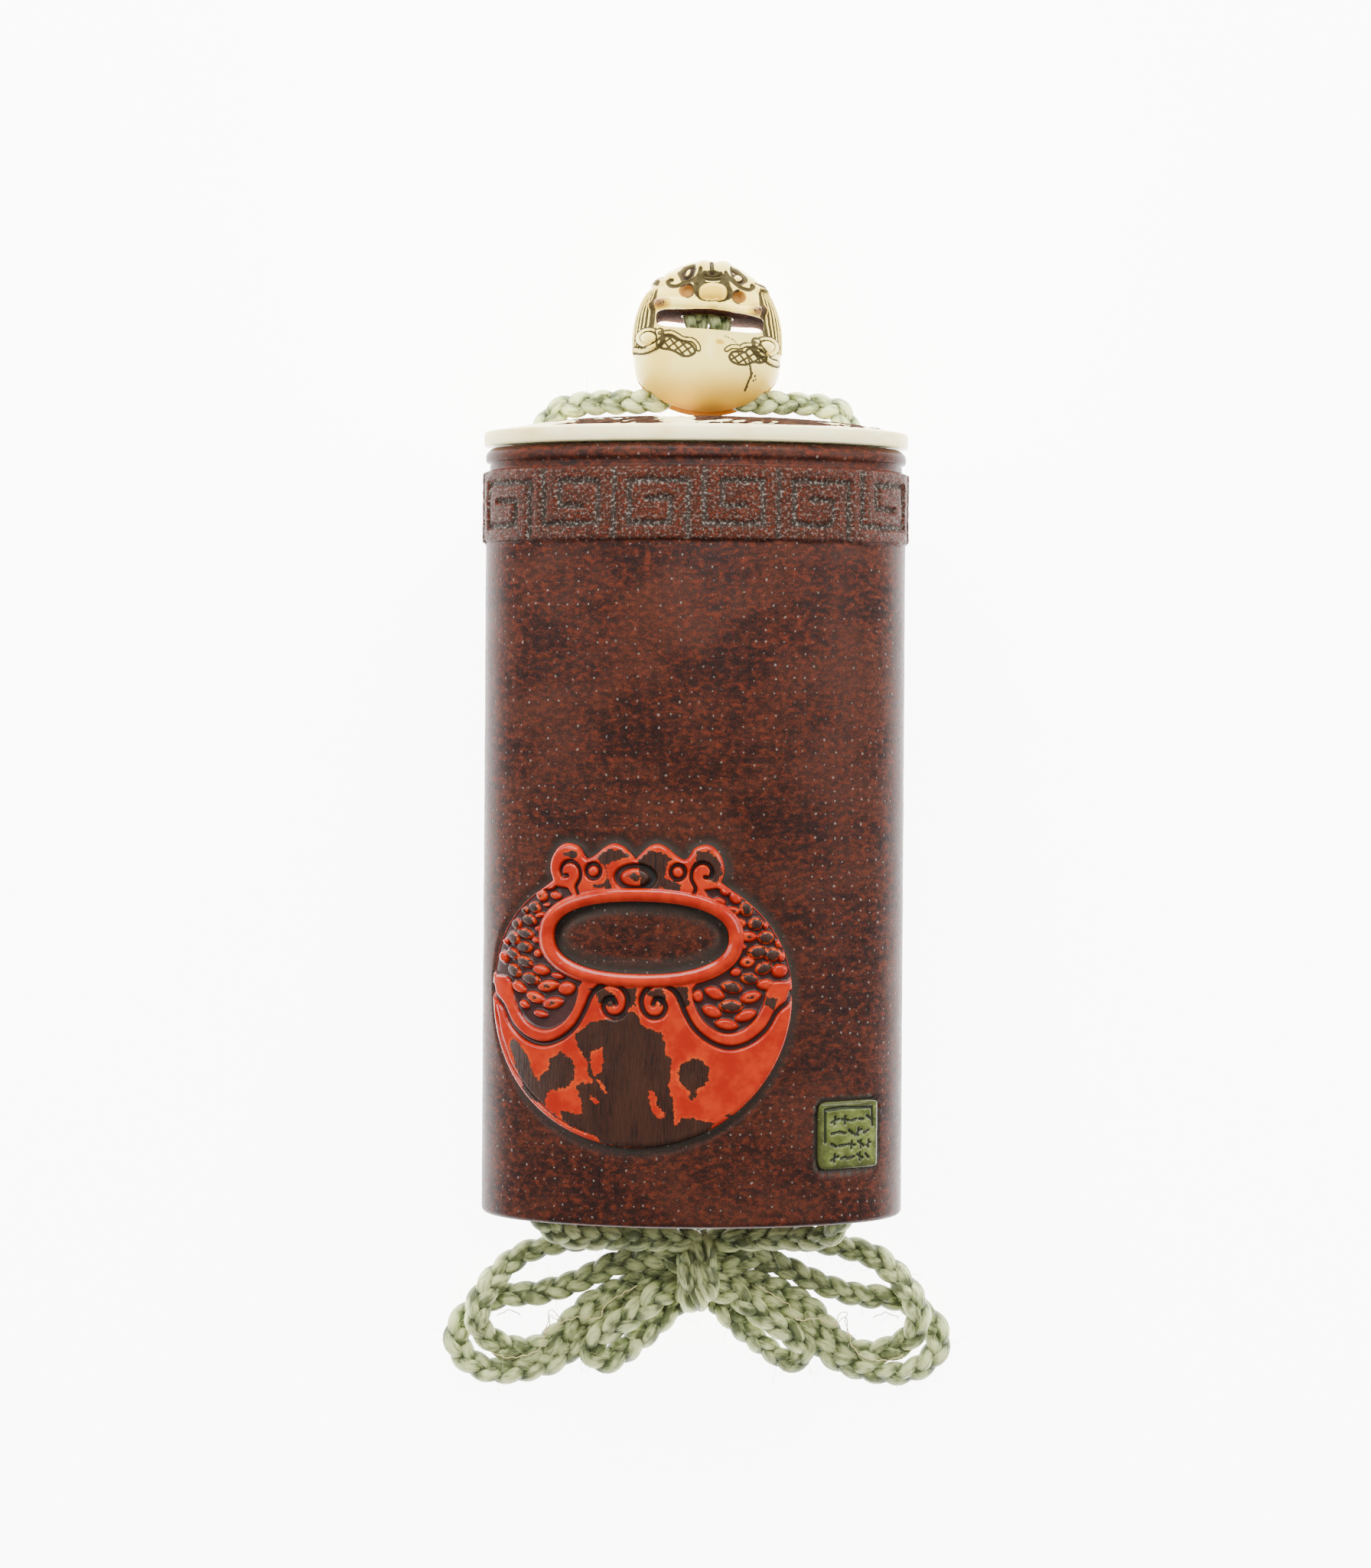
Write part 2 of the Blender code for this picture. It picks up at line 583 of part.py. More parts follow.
# Lid
def build_lid():
    bm = bmesh.new()
    shares = (1.0, 0.93, 0.80, 0.60, 0.32)
    columns = column_places(LID_COLUMNS)[:-1]
    edge = [on_oval(column, 0.0, LID_OVERHANG) for column in columns]
    rings = [[bm.verts.new((p.x, LID_BOTTOM_Y, p.z)) for p in edge]]
    for share in shares:
        y = LID_EDGE_Y + LID_DOME_HEIGHT * (1 - share ** 3)
        rings.append([bm.verts.new((p.x * share, y, BODY_Z + (p.z - BODY_Z) * share)) for p in edge])
    for lower, upper in zip(rings, rings[1:]):
        for k in range(LID_COLUMNS):
            following = (k + 1) % LID_COLUMNS
            bm.faces.new((lower[k], lower[following], upper[following], upper[k]))
    crown = bm.verts.new((0.0, LID_TOP_Y, BODY_Z))
    for k in range(LID_COLUMNS):
        bm.faces.new((rings[-1][k], rings[-1][(k + 1) % LID_COLUMNS], crown))
    bm.faces.new(rings[0])
    lid = add_object("lid", bm, material("ivory with brown skin", (0.86, 0.78, 0.58), 0.3))

    spigot = bmesh.new()
    prism(spigot, cavity_outline(SPIGOT_CLEARANCE), RIM_Y - SPIGOT_HEIGHT, LID_BOTTOM_Y + LID_EDGE_HEIGHT / 2)
    combine(lid, add_cutter("cutter spigot", spigot), "UNION")
    hollow = bmesh.new()
    prism(hollow, cavity_outline(SPIGOT_CLEARANCE + SPIGOT_WALL), RIM_Y - SPIGOT_HEIGHT - BOOLEAN_OVERRUN,
          LID_BOTTOM_Y)
    combine(lid, add_cutter("cutter spigot hollow", hollow), "DIFFERENCE")
    for side in (-1, 1):
        profile = [(LID_BOTTOM_Y - BOOLEAN_OVERRUN, CHANNEL_RADIUS), (LID_BOTTOM_Y, CHANNEL_RADIUS),
                   (LID_EDGE_Y + LID_DOME_HEIGHT / 2, LID_MOUTH_RADIUS),
                   (LID_TOP_Y + BOOLEAN_OVERRUN, LID_MOUTH_RADIUS)]
        hole = spun_cutter(f"cutter lid hole {side}", side * CORD_HOLE_X, BODY_Z, profile)
        combine(lid, hole, "DIFFERENCE")


# Inlays that follow the oval
def build_inlay(name, outline, opening, carving, relief, finish):
    """A plate from its outline, its opening if it has one, the outlines carved in it and its relief."""
    edges = [outline] + ([opening] if opening else [])
    acrosses = [point[0] for point in outline]
    heights = [point[1] for point in outline]
    lines = [((column, min(heights) - INLAY_GAP), (column, max(heights) + INLAY_GAP))
             for column in column_places(BODY_COLUMNS) if min(acrosses) < column < max(acrosses)]

    def raise_plate(loops, plate_relief):
        points, triangles = triangulate(loops, lines)
        kept = []
        for triangle in triangles:
            middle = centre(points, triangle)
            if inside(middle, outline) and not (opening and inside(middle, opening)):
                kept.append(triangle)
        return points, raise_surface(bm, points, kept, plate_relief)

    bm = bmesh.new()
    points, open_edges = raise_plate(edges + carving, relief)
    for ends in open_edges:
        upper = [on_oval(points[index].x, points[index].y, height) for index, height in ends]
        lower = [on_oval(points[index].x, points[index].y, -RELIEF_SINK) for index, height in ends]
        bm.faces.new([bm.verts.new(corner) for corner in upper + lower[::-1]])
    raise_plate(edges, lambda point, middle: -RELIEF_SINK)
    add_object(name, bm, finish)


def build_relief():
    outline = relief_outline()
    inset = shift_line(outline, RELIEF_EDGE_WIDTH, closed=True)
    rim = shift_line(outline, RELIEF_EDGE_WIDTH / 2, closed=True)
    roll_edge = relief_slot(RELIEF_ROLL_WIDTH * 0.25)
    roll_crest = relief_slot(RELIEF_ROLL_WIDTH * 0.5)
    roll_back = relief_slot(RELIEF_ROLL_WIDTH * 0.75)
    roll_foot = relief_slot(RELIEF_ROLL_WIDTH)
    fields = [scale_field(1), scale_field(-1)]
    lozenges = scales(fields[0]) + scales(fields[1])
    line_share = RELIEF_LINE_WIDTH / RELIEF_HALF_SIZE
    grooves = []
    for curve, width in ((BORDER, line_share), (EAR, 0.8 * line_share)):
        grooves.append(relief_shape(ribbon(curve, width)))
        grooves.append(relief_shape(ribbon(mirrored(curve), width)))
    rings = [relief_shape(ellipse(0, JEWEL_UP, *JEWEL_RING, 18))]
    balls = [relief_shape(ellipse(0, JEWEL_UP, *JEWEL_BALL, 14))]
    for side in (-1, 1):
        rings.append(relief_shape(ellipse(side * EYE[0], EYE[1], *EYE_RING, 12)))
        balls.append(relief_shape(ellipse(side * EYE[0], EYE[1], *EYE_BALL, 10)))

    def relief(point, middle):
        if not inside(point, rim) or inside(point, roll_edge):
            return RELIEF_EDGE
        if inside(middle, roll_foot):
            return RELIEF_ROLL if inside(point, roll_back) else RELIEF_PLATE
        if any(inside(middle, ball) for ball in balls):
            return RELIEF_PLATE
        if any(inside(middle, ring) for ring in rings + grooves):
            return RELIEF_GROUND
        if any(inside(middle, field) for field in fields):
            raised = any(inside(middle, lozenge) for lozenge in lozenges)
            return RELIEF_PLATE if raised else RELIEF_GROUND
        return RELIEF_PLATE

    carving = [roll_crest, roll_foot, inset] + fields + lozenges + grooves + rings + balls
    build_inlay("fish_drum_relief", outline, relief_slot(0.0), carving, relief,
                material("red lacquer on wood", (0.62, 0.07, 0.02), 0.25))


def build_seal():
    strokes = seal_strokes()

    def relief(point, middle):
        cut = any(inside(middle, stroke) for stroke in strokes)
        return SEAL_RELIEF - SEAL_STROKE_DEPTH if cut else SEAL_RELIEF

    build_inlay("seal_inlay", seal_outline(0.0), None, strokes, relief,
                material("green glaze", (0.35, 0.45, 0.12), 0.2))


# Fish-drum bead: places on its front are millimetres from its middle and above its bottom
MM = 0.001
BEAD_COLUMNS_FRONT = 24
BEAD_COLUMNS_BACK = 8
BEAD_ROWS = 18
# Each bump is across, up, half width, half height and how far it stands out, all in millimetres
BUMPS = ((0.4, 15.9, 3.9, 2.9, -1.1), (0.6, 15.6, 2.1, 1.6, 1.9), (-2.9, 18.0, 1.5, 1.2, 0.5),
         (4.0, 18.0, 1.5, 1.2, 0.5), (-2.9, 18.1, 0.8, 0.9, -0.7), (4.0, 18.1, 0.8, 0.9, -0.7),
         (-1.2, 19.4, 1.5, 0.8, 0.7), (2.0, 19.4, 1.5, 0.8, 0.7), (-2.9, 15.9, 1.1, 1.0, -1.1),
         (4.1, 15.6, 1.1, 1.0, -1.1), (-4.6, 13.9, 2.6, 0.9, 0.6), (5.3, 13.5, 2.6, 0.9, 0.6),
         (-6.6, 17.3, 1.5, 0.9, 0.9), (7.2, 16.7, 1.5, 0.9, 0.9), (-7.4, 9.6, 1.4, 0.9, 0.8),
         (7.5, 8.8, 1.4, 0.9, 0.8), (-3.8, 8.6, 2.3, 1.1, -0.4), (5.0, 7.4, 2.3, 1.1, -0.4))
MANE_LOW = 7.4
MANE_HIGH = 16.5
MANE_START = math.radians(48)
MANE_STOP = math.radians(112)
MANE_RIDGES = 5
MANE_DEPTH = 0.35


def bead_half_width(share):
    """Width of the bead at a share of its height, against its widest, just below the middle."""
    if share < 0.45:
        return math.sqrt(1 - ((0.45 - share) / 0.47) ** 3.2)
    return math.sqrt(max(1 - ((share - 0.45) / 0.55) ** 2.2, 0.0))


def bead_carving(angle, across, up):
    """How far the carved surface stands out of the plain bead, in millimetres."""
    turned = Vector((across, up - MOUTH_LEVEL / MM))
    turned.rotate(TILT_UNDONE)
    x = turned.x
    y = turned.y + MOUTH_LEVEL / MM
    height = 0.0
    if math.cos(angle) > 0.05:
        for bump_x, bump_y, half_width, half_height, rise in BUMPS:
            distance = ((x - bump_x) / half_width) ** 2 + ((y - bump_y) / half_height) ** 2
            height += rise * math.exp(-1.4 * distance ** 1.5)
    side = abs(angle)
    if MANE_START < side < MANE_STOP and MANE_LOW < y < MANE_HIGH:
        share = (side - MANE_START) / (MANE_STOP - MANE_START)
        fade = math.sin(math.pi * (y - MANE_LOW) / (MANE_HIGH - MANE_LOW)) ** 0.5
        height += MANE_DEPTH * fade * (math.sin(math.pi * MANE_RIDGES * share) ** 2 - 0.5)
    return height


def bead_point(angle, share):
    width = bead_half_width(share)
    x = BEAD_HALF_WIDTH * width * math.sin(angle)
    z = BEAD_HALF_DEPTH * width * math.cos(angle)
    y = BEAD_HEIGHT * share
    outward = Vector((x / BEAD_HALF_WIDTH ** 2, (share - 0.45) * 1.2 / BEAD_HEIGHT, z / BEAD_HALF_DEPTH ** 2))
    outward.normalize()
    rise = bead_carving(angle, x / MM, y / MM) * MM
    place = Vector((BEAD_X + x, BEAD_BOTTOM_Y + y, BEAD_Z + z)) + outward * rise
    place.y = min(max(place.y, BEAD_BOTTOM_Y), BEAD_BOTTOM_Y + BEAD_HEIGHT)
    place.z = max(place.z, 0.0)
    return place


def build_bead():
    bm = bmesh.new()
    angles = [-math.pi / 2 + math.pi * k / BEAD_COLUMNS_FRONT for k in range(BEAD_COLUMNS_FRONT)]
    angles += [math.pi / 2 + math.pi * k / BEAD_COLUMNS_BACK for k in range(BEAD_COLUMNS_BACK)]
    count = len(angles)
    angles = [angle if angle < math.pi else angle - math.tau for angle in angles]
    rings = []
    for row in range(BEAD_ROWS):
        share = row / BEAD_ROWS
        share = 0.4 * (0.5 - 0.5 * math.cos(math.pi * share)) + 0.6 * share
        rings.append([bm.verts.new(bead_point(angle, share)) for angle in angles])
    for lower, upper in zip(rings, rings[1:]):
        for k in range(count):
            following = (k + 1) % count
            bm.faces.new((lower[k], lower[following], upper[following], upper[k]))
    bm.faces.new(rings[0])
    crown = bm.verts.new((BEAD_X, BEAD_BOTTOM_Y + BEAD_HEIGHT, BEAD_Z))
    for k in range(count):
        bm.faces.new((rings[-1][k], rings[-1][(k + 1) % count], crown))
    bead = add_object("fish_drum_bead", bm, material("ivory", (0.88, 0.80, 0.58), 0.25))

    hollow = bmesh.new()
    bmesh.ops.create_uvsphere(hollow, u_segments=14, v_segments=9, radius=1.0)
    bmesh.ops.scale(hollow, verts=hollow.verts,
                    vec=(BEAD_HOLLOW_HALF_WIDTH, BEAD_HOLLOW_HALF_HEIGHT, BEAD_HOLLOW_HALF_DEPTH))
    bmesh.ops.translate(hollow, verts=hollow.verts, vec=(BEAD_X, BEAD_BOTTOM_Y + BEAD_HOLLOW_LEVEL, BEAD_Z))
    combine(bead, add_cutter("cutter bead hollow", hollow), "DIFFERENCE")

    passage = bmesh.new()
    loop = ellipse(BEAD_X, BEAD_Z, BEAD_PASSAGE_HALF_WIDTH, BEAD_PASSAGE_HALF_DEPTH, 16, squareness=2.6)
    prism(passage, loop, BEAD_BOTTOM_Y + BEAD_HOLLOW_LEVEL, BEAD_BOTTOM_Y + BEAD_PASSAGE_TOP)
    combine(bead, add_cutter("cutter bead passage", passage), "DIFFERENCE")

    notch = bmesh.new()
    bmesh.ops.create_cone(notch, cap_ends=True, segments=14, radius1=1.0, radius2=1.0,
                          depth=4 * BEAD_HALF_WIDTH)
    bmesh.ops.rotate(notch, verts=notch.verts, matrix=QUARTER_TURN_ABOUT_Y)
    bmesh.ops.scale(notch, verts=notch.verts, vec=(1.0, BEAD_NOTCH_HEIGHT, BEAD_NOTCH_HALF_DEPTH))
    bmesh.ops.translate(notch, verts=notch.verts, vec=(BEAD_X, BEAD_BOTTOM_Y, BEAD_Z))
    combine(bead, add_cutter("cutter bead notch", notch), "DIFFERENCE")

    mouth = bmesh.new()
    loop = ellipse(0.0, 0.0, MOUTH_WIDTH / 2, MOUTH_HEIGHT / 2, 20, squareness=4.0)
    turned = [Vector(point) for point in loop]
    for point in turned:
        point.rotate(TILT)
    front = [mouth.verts.new((BEAD_X + p.x, BEAD_BOTTOM_Y + MOUTH_LEVEL + p.y, 3 * BEAD_Z)) for p in turned]
    back = [mouth.verts.new((BEAD_X + p.x, BEAD_BOTTOM_Y + MOUTH_LEVEL + p.y, -BEAD_Z)) for p in turned]
    mouth.faces.new(front)
    mouth.faces.new(back)
    for k in range(len(front)):
        following = (k + 1) % len(front)
        mouth.faces.new((front[k], front[following], back[following], back[k]))
    combine(bead, add_cutter("cutter bead mouth", mouth), "DIFFERENCE")


# Cord: one half's route as millimetres outwards, above the base and above the floor, chosen by hand
CORD_ROUTE = ((1.55, 122.9, 8.9), (1.55, 119.0, 8.9), (1.6, 115.4, 8.9), (2.1, 112.2, 8.9), (3.6, 109.5, 9.0),
              (6.0, 108.1, 9.3), (9.2, 107.8, 9.9), (12.6, 107.6, 10.9), (15.8, 107.2, 12.1),
              (18.6, 106.3, 13.1), (20.1, 104.2, 13.7), (20.55, 101.6, 13.9), (20.6, 98.6, 13.9),
              (20.6, 94.6, 13.9), (20.6, 88.6, 13.9), (20.6, 79.6, 13.9), (20.6, 67.0, 13.9),
              (20.6, 51.0, 13.9), (20.6, 35.0, 13.9), (20.6, 23.5, 13.9), (20.6, 15.5, 13.9),
              (20.6, 10.0, 13.9), (20.6, 6.3, 13.9), (20.55, 3.2, 13.85),
              (20.2, 0.4, 13.6), (19.2, -1.9, 12.9), (17.2, -3.5, 11.7), (14.0, -4.1, 10.1),
              (10.1, -4.3, 8.4), (6.6, -4.6, 7.2), (3.9, -4.8, 6.7))
# Heights above the base, in millimetres, between which the cord's middle moves from bow to body to bead
CORD_MIDDLE_HEIGHTS = (-4.5, -1.5, 104.0, 113.0)
CORD_STEP = 0.0046
CORD_CHANNEL_STEPS = 0.5
# The left side of the bow: loop and lobe, as millimetres from the bow's axis and below the base
BOW_LOOP = ((-3.9, -7.6), (-9.5, -7.3), (-15.5, -8.0), (-21.5, -9.6), (-26.8, -11.9), (-30.0, -15.4),
            (-31.3, -19.0), (-29.6, -21.9), (-25.4, -22.9), (-21.0, -21.5), (-17.2, -18.3), (-13.0, -14.9),
            (-8.6, -13.2), (-3.9, -13.6))
BOW_LOOP_HALF_WIDTH = 0.0024
BOW_LOBE = ((-4.4, -14.8), (-7.0, -16.6), (-10.0, -18.7), (-12.4, -20.6))
BOW_LOBE_HALF_WIDTH = 0.0027


def even_route(points, step):
    """A smooth curve through route points, read off again at even steps, longer ones in the channel."""
    curve = [Vector(point) for point in smooth_curve(points, 12)]
    lengths = [0.0]
    for one, two in zip(curve, curve[1:]):
        straight = BASE_Y + BASE_MOUTH_HEIGHT < one.y < RIM_Y
        lengths.append(lengths[-1] + (two - one).length * (CORD_CHANNEL_STEPS if straight else 1.0))
    count = round(lengths[-1] / step)
    places = np.linspace(0.0, lengths[-1], count + 1)
    return [Vector([float(np.interp(place, lengths, [point[axis] for point in curve])) for axis in range(3)])
            for place in places]


def build_cord(name, side, finish):
    route = []
    for outwards, up, depth in CORD_ROUTE:
        middle = float(np.interp(up, CORD_MIDDLE_HEIGHTS, (BOW_X, 0.0, 0.0, BEAD_X)))
        route.append(Vector((middle + side * outwards * MM, BASE_Y + up * MM, depth * MM)))
    line = bpy.data.curves.new(name, "CURVE")
    line.dimensions = "3D"
    line.bevel_depth = CORD_DIAMETER / 2
    line.bevel_resolution = 2
    line.use_fill_caps = True
    points = even_route(route, CORD_STEP)
    spline = line.splines.new("POLY")
    spline.points.add(len(points) - 1)
    for place, point in zip(spline.points, points):
        place.co = (*point, 1.0)
    line.materials.append(finish)
    bpy.context.collection.objects.link(bpy.data.objects.new(name, line))


def rounded_band(bm, path, half_width, height):
    """A flat band with rounded edges, carried along a path on the floor."""
    section = ((1.0, 0.5), (0.6, 1.0), (-0.6, 1.0), (-1.0, 0.5), (-0.7, 0.0), (0.7, 0.0))
    rings = []
    for index, point in enumerate(path):
        side = side_step(path, index, False) * half_width
        rings.append([bm.verts.new((point[0] + side.x * across, point[1] + side.y * across, height * up))
                      for across, up in section])
    for one, two in zip(rings, rings[1:]):
        for k in range(len(section)):
            following = (k + 1) % len(section)
            bm.faces.new((one[k], one[following], two[following], two[k]))
    bm.faces.new(rings[0])
    bm.faces.new(rings[-1])


def bow_path(points, side):
    placed = [(BOW_X + side * -across * MM, BASE_Y + up * MM) for across, up in points]
    return smooth_curve(placed, 2)


def build_bow(finish):
    for side, word in ((-1, "left"), (1, "right")):
        loop = bmesh.new()
        rounded_band(loop, bow_path(BOW_LOOP, side), BOW_LOOP_HALF_WIDTH, BOW_LAYERS_HEIGHT)
        bow = add_object(f"bow_{word}", loop, finish)
        lobe = bmesh.new()
        rounded_band(lobe, bow_path(BOW_LOBE, side), BOW_LOBE_HALF_WIDTH, BOW_LAYERS_HEIGHT * 0.98)
        combine(bow, add_cutter(f"cutter bow lobe {word}", lobe), "UNION")
    knot = bmesh.new()
    bmesh.ops.create_uvsphere(knot, u_segments=12, v_segments=8, radius=1.0)
    for vertex in knot.verts:
        for axis, half in enumerate((KNOT_HALF_WIDTH, KNOT_HALF_HEIGHT, KNOT_DEPTH / 2)):
            value = vertex.co[axis]
            vertex.co[axis] = math.copysign(abs(value) ** 0.6, value) * half
    bmesh.ops.translate(knot, verts=knot.verts, vec=(BOW_X, BASE_Y - KNOT_DROP, KNOT_DEPTH / 2))
    add_object("bow_knot", knot, finish)


clear_scene()
build_container()
build_lid()
build_relief()
build_seal()
build_bead()
silk = material("sage silk", (0.35, 0.42, 0.27), 0.7)
build_cord("cord_left", -1, silk)
build_cord("cord_right", 1, silk)
build_bow(silk)
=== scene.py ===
# %% [markdown]
# # A tobacco container with a fish-drum bead
# A lacquered box for tobacco, oval in section, with an ivory lid, an ivory bead and a silk cord that ties
# them together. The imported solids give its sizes. This script puts finely worked surfaces around them.
# The box lies on its back: +Z points up out of its carved front and +Y runs from its base to its bead.
# Lengths are in metres in the meshes, and in millimetres in the tables below.

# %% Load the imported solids
import math

import bmesh
import bpy
import numpy as np
from mathutils.geometry import delaunay_2d_cdt
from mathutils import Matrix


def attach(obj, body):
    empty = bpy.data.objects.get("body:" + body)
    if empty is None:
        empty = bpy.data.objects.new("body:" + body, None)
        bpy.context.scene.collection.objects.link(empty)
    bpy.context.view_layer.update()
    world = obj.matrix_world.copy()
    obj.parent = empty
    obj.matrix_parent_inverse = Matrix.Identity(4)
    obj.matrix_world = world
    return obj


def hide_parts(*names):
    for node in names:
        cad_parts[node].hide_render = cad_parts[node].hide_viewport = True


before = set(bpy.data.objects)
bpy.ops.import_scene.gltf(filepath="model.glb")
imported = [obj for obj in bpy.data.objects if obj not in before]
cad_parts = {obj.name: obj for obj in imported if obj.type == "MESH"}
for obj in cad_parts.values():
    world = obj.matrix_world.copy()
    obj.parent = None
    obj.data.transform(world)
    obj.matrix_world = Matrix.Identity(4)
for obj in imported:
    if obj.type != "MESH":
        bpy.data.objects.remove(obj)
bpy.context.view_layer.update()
MM = 0.001
print("nodes", sorted(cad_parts))

# %% [markdown]
# The photograph was taken from straight above the front of the box, from about 43 cm, on a bright white
# ground. A camera in that place with the same angle of view gives the same outlines. A little shift
# instead of a turn keeps the box's sides as upright as they are in the photograph.

# %% Camera
camera_data = bpy.data.cameras.new("camera")
camera = bpy.data.objects.new("camera", camera_data)
bpy.context.collection.objects.link(camera)
camera.location = (-0.0012, 0.0040, 0.4280)
camera.rotation_euler = (0, 0, math.radians(0.38))
camera_data.sensor_fit = "VERTICAL"
camera_data.sensor_height = 36
camera_data.lens = 71.68
camera_data.shift_y = -0.0512
camera_data.clip_start = 0.01
bpy.context.scene.camera = camera
print("camera at", tuple(camera.location))

# %% [markdown]
# Every surface here is a grid: a table of points with rows and columns. The helpers below turn such a
# table into a mesh in one step, with a flat map of its own and with named values at its points, which
# the finishes read. Writing whole arrays is quick, and the same few lines serve every piece. Points
# closer than WELD, in metres, become one, and faces under THIN_FACE, in square metres, are dropped.

# %% Helpers for grids
WELD = 2e-7
THIN_FACE = 1e-14


def grid_faces(rows, columns, first=0):
    """Four corners of each cell of a grid whose points are numbered row by row from first."""
    row, column = np.meshgrid(np.arange(rows - 1), np.arange(columns - 1), indexing="ij")
    corner = first + row * columns + column
    return np.stack([corner, corner + 1, corner + columns + 1, corner + columns], axis=-1).reshape(-1, 4)


def make_piece(name, points, faces, flat=None, values=None, weld=WELD):
    """A mesh from points in metres and lists of faces, with a flat map and named values at its points."""
    points = np.asarray(points, dtype=float).reshape(-1, 3)
    groups = [np.asarray(group) for group in faces if len(group)]
    corners = np.concatenate([group.ravel() for group in groups])
    sizes = np.concatenate([np.full(len(group), group.shape[1]) for group in groups])
    mesh = bpy.data.meshes.new(name)
    mesh.vertices.add(len(points))
    mesh.vertices.foreach_set("co", points.astype(np.float32).ravel())
    mesh.loops.add(len(corners))
    mesh.loops.foreach_set("vertex_index", corners.astype(np.int32))
    mesh.polygons.add(len(sizes))
    mesh.polygons.foreach_set("loop_start", np.concatenate([[0], np.cumsum(sizes)[:-1]]).astype(np.int32))
    mesh.update(calc_edges=True)
    if flat is not None:
        layer = mesh.uv_layers.new(name="flat")
        layer.data.foreach_set("uv", np.asarray(flat, dtype=float)[corners].astype(np.float32).ravel())
    for word, numbers in (values or {}).items():
        layer = mesh.attributes.new(word, "FLOAT", "POINT")
        layer.data.foreach_set("value", np.asarray(numbers, dtype=np.float32).ravel())
    work = bmesh.new()
    work.from_mesh(mesh)
    bmesh.ops.remove_doubles(work, verts=work.verts, dist=weld)
    thin = [face for face in work.faces if face.calc_area() < THIN_FACE]
    bmesh.ops.delete(work, geom=thin, context="FACES_ONLY")
    bmesh.ops.recalc_face_normals(work, faces=work.faces)
    if work.calc_volume(signed=True) < 0:
        bmesh.ops.reverse_faces(work, faces=work.faces)
    open_edges = sum(1 for edge in work.edges if not edge.is_manifold)
    work.to_mesh(mesh)
    work.free()
    mesh.shade_smooth()
    piece = bpy.data.objects.new(name, mesh)
    bpy.context.collection.objects.link(piece)
    triangles = sum(len(polygon.vertices) - 2 for polygon in mesh.polygons)
    print(name, "triangles", triangles, "open edges", open_edges)
    return piece


def smooth_line(points, steps):
    """Catmull-Rom curve through points, with that many steps in each span."""
    points = np.asarray(points, dtype=float)
    padded = np.concatenate([points[:1], points, points[-1:]])
    a, b, c, d = (padded[k:len(padded) - 3 + k][:, None] for k in range(4))
    t = (np.arange(steps) / steps)[None, :, None]
    curve = 0.5 * (2 * b + (c - a) * t + (2 * a - 5 * b + 4 * c - d) * t ** 2
                   + (3 * b - a - 3 * c + d) * t ** 3)
    return np.concatenate([curve.reshape(-1, points.shape[1]), points[-1:]])


def even_line(points, step):
    """The same line read off again at even steps."""
    points = np.asarray(points, dtype=float)
    lengths = np.concatenate([[0], np.cumsum(np.linalg.norm(np.diff(points, axis=0), axis=1))])
    count = max(2, round(lengths[-1] / step))
    places = np.linspace(0, lengths[-1], count + 1)
    return np.stack([np.interp(places, lengths, points[:, axis]) for axis in range(points.shape[1])],
                    axis=1)


def rise(low, high, x):
    """Smooth step: 0 below low, 1 above high, 3t^2 - 2t^3 between."""
    t = np.clip((np.asarray(x, dtype=float) - low) / (high - low), 0, 1)
    return t * t * (3 - 2 * t)


# %% [markdown]
# A finish is a small network of nodes. This helper writes one from short lines, so that each finish can
# be read from top to bottom: noise and waves on one side, the shader on the other.

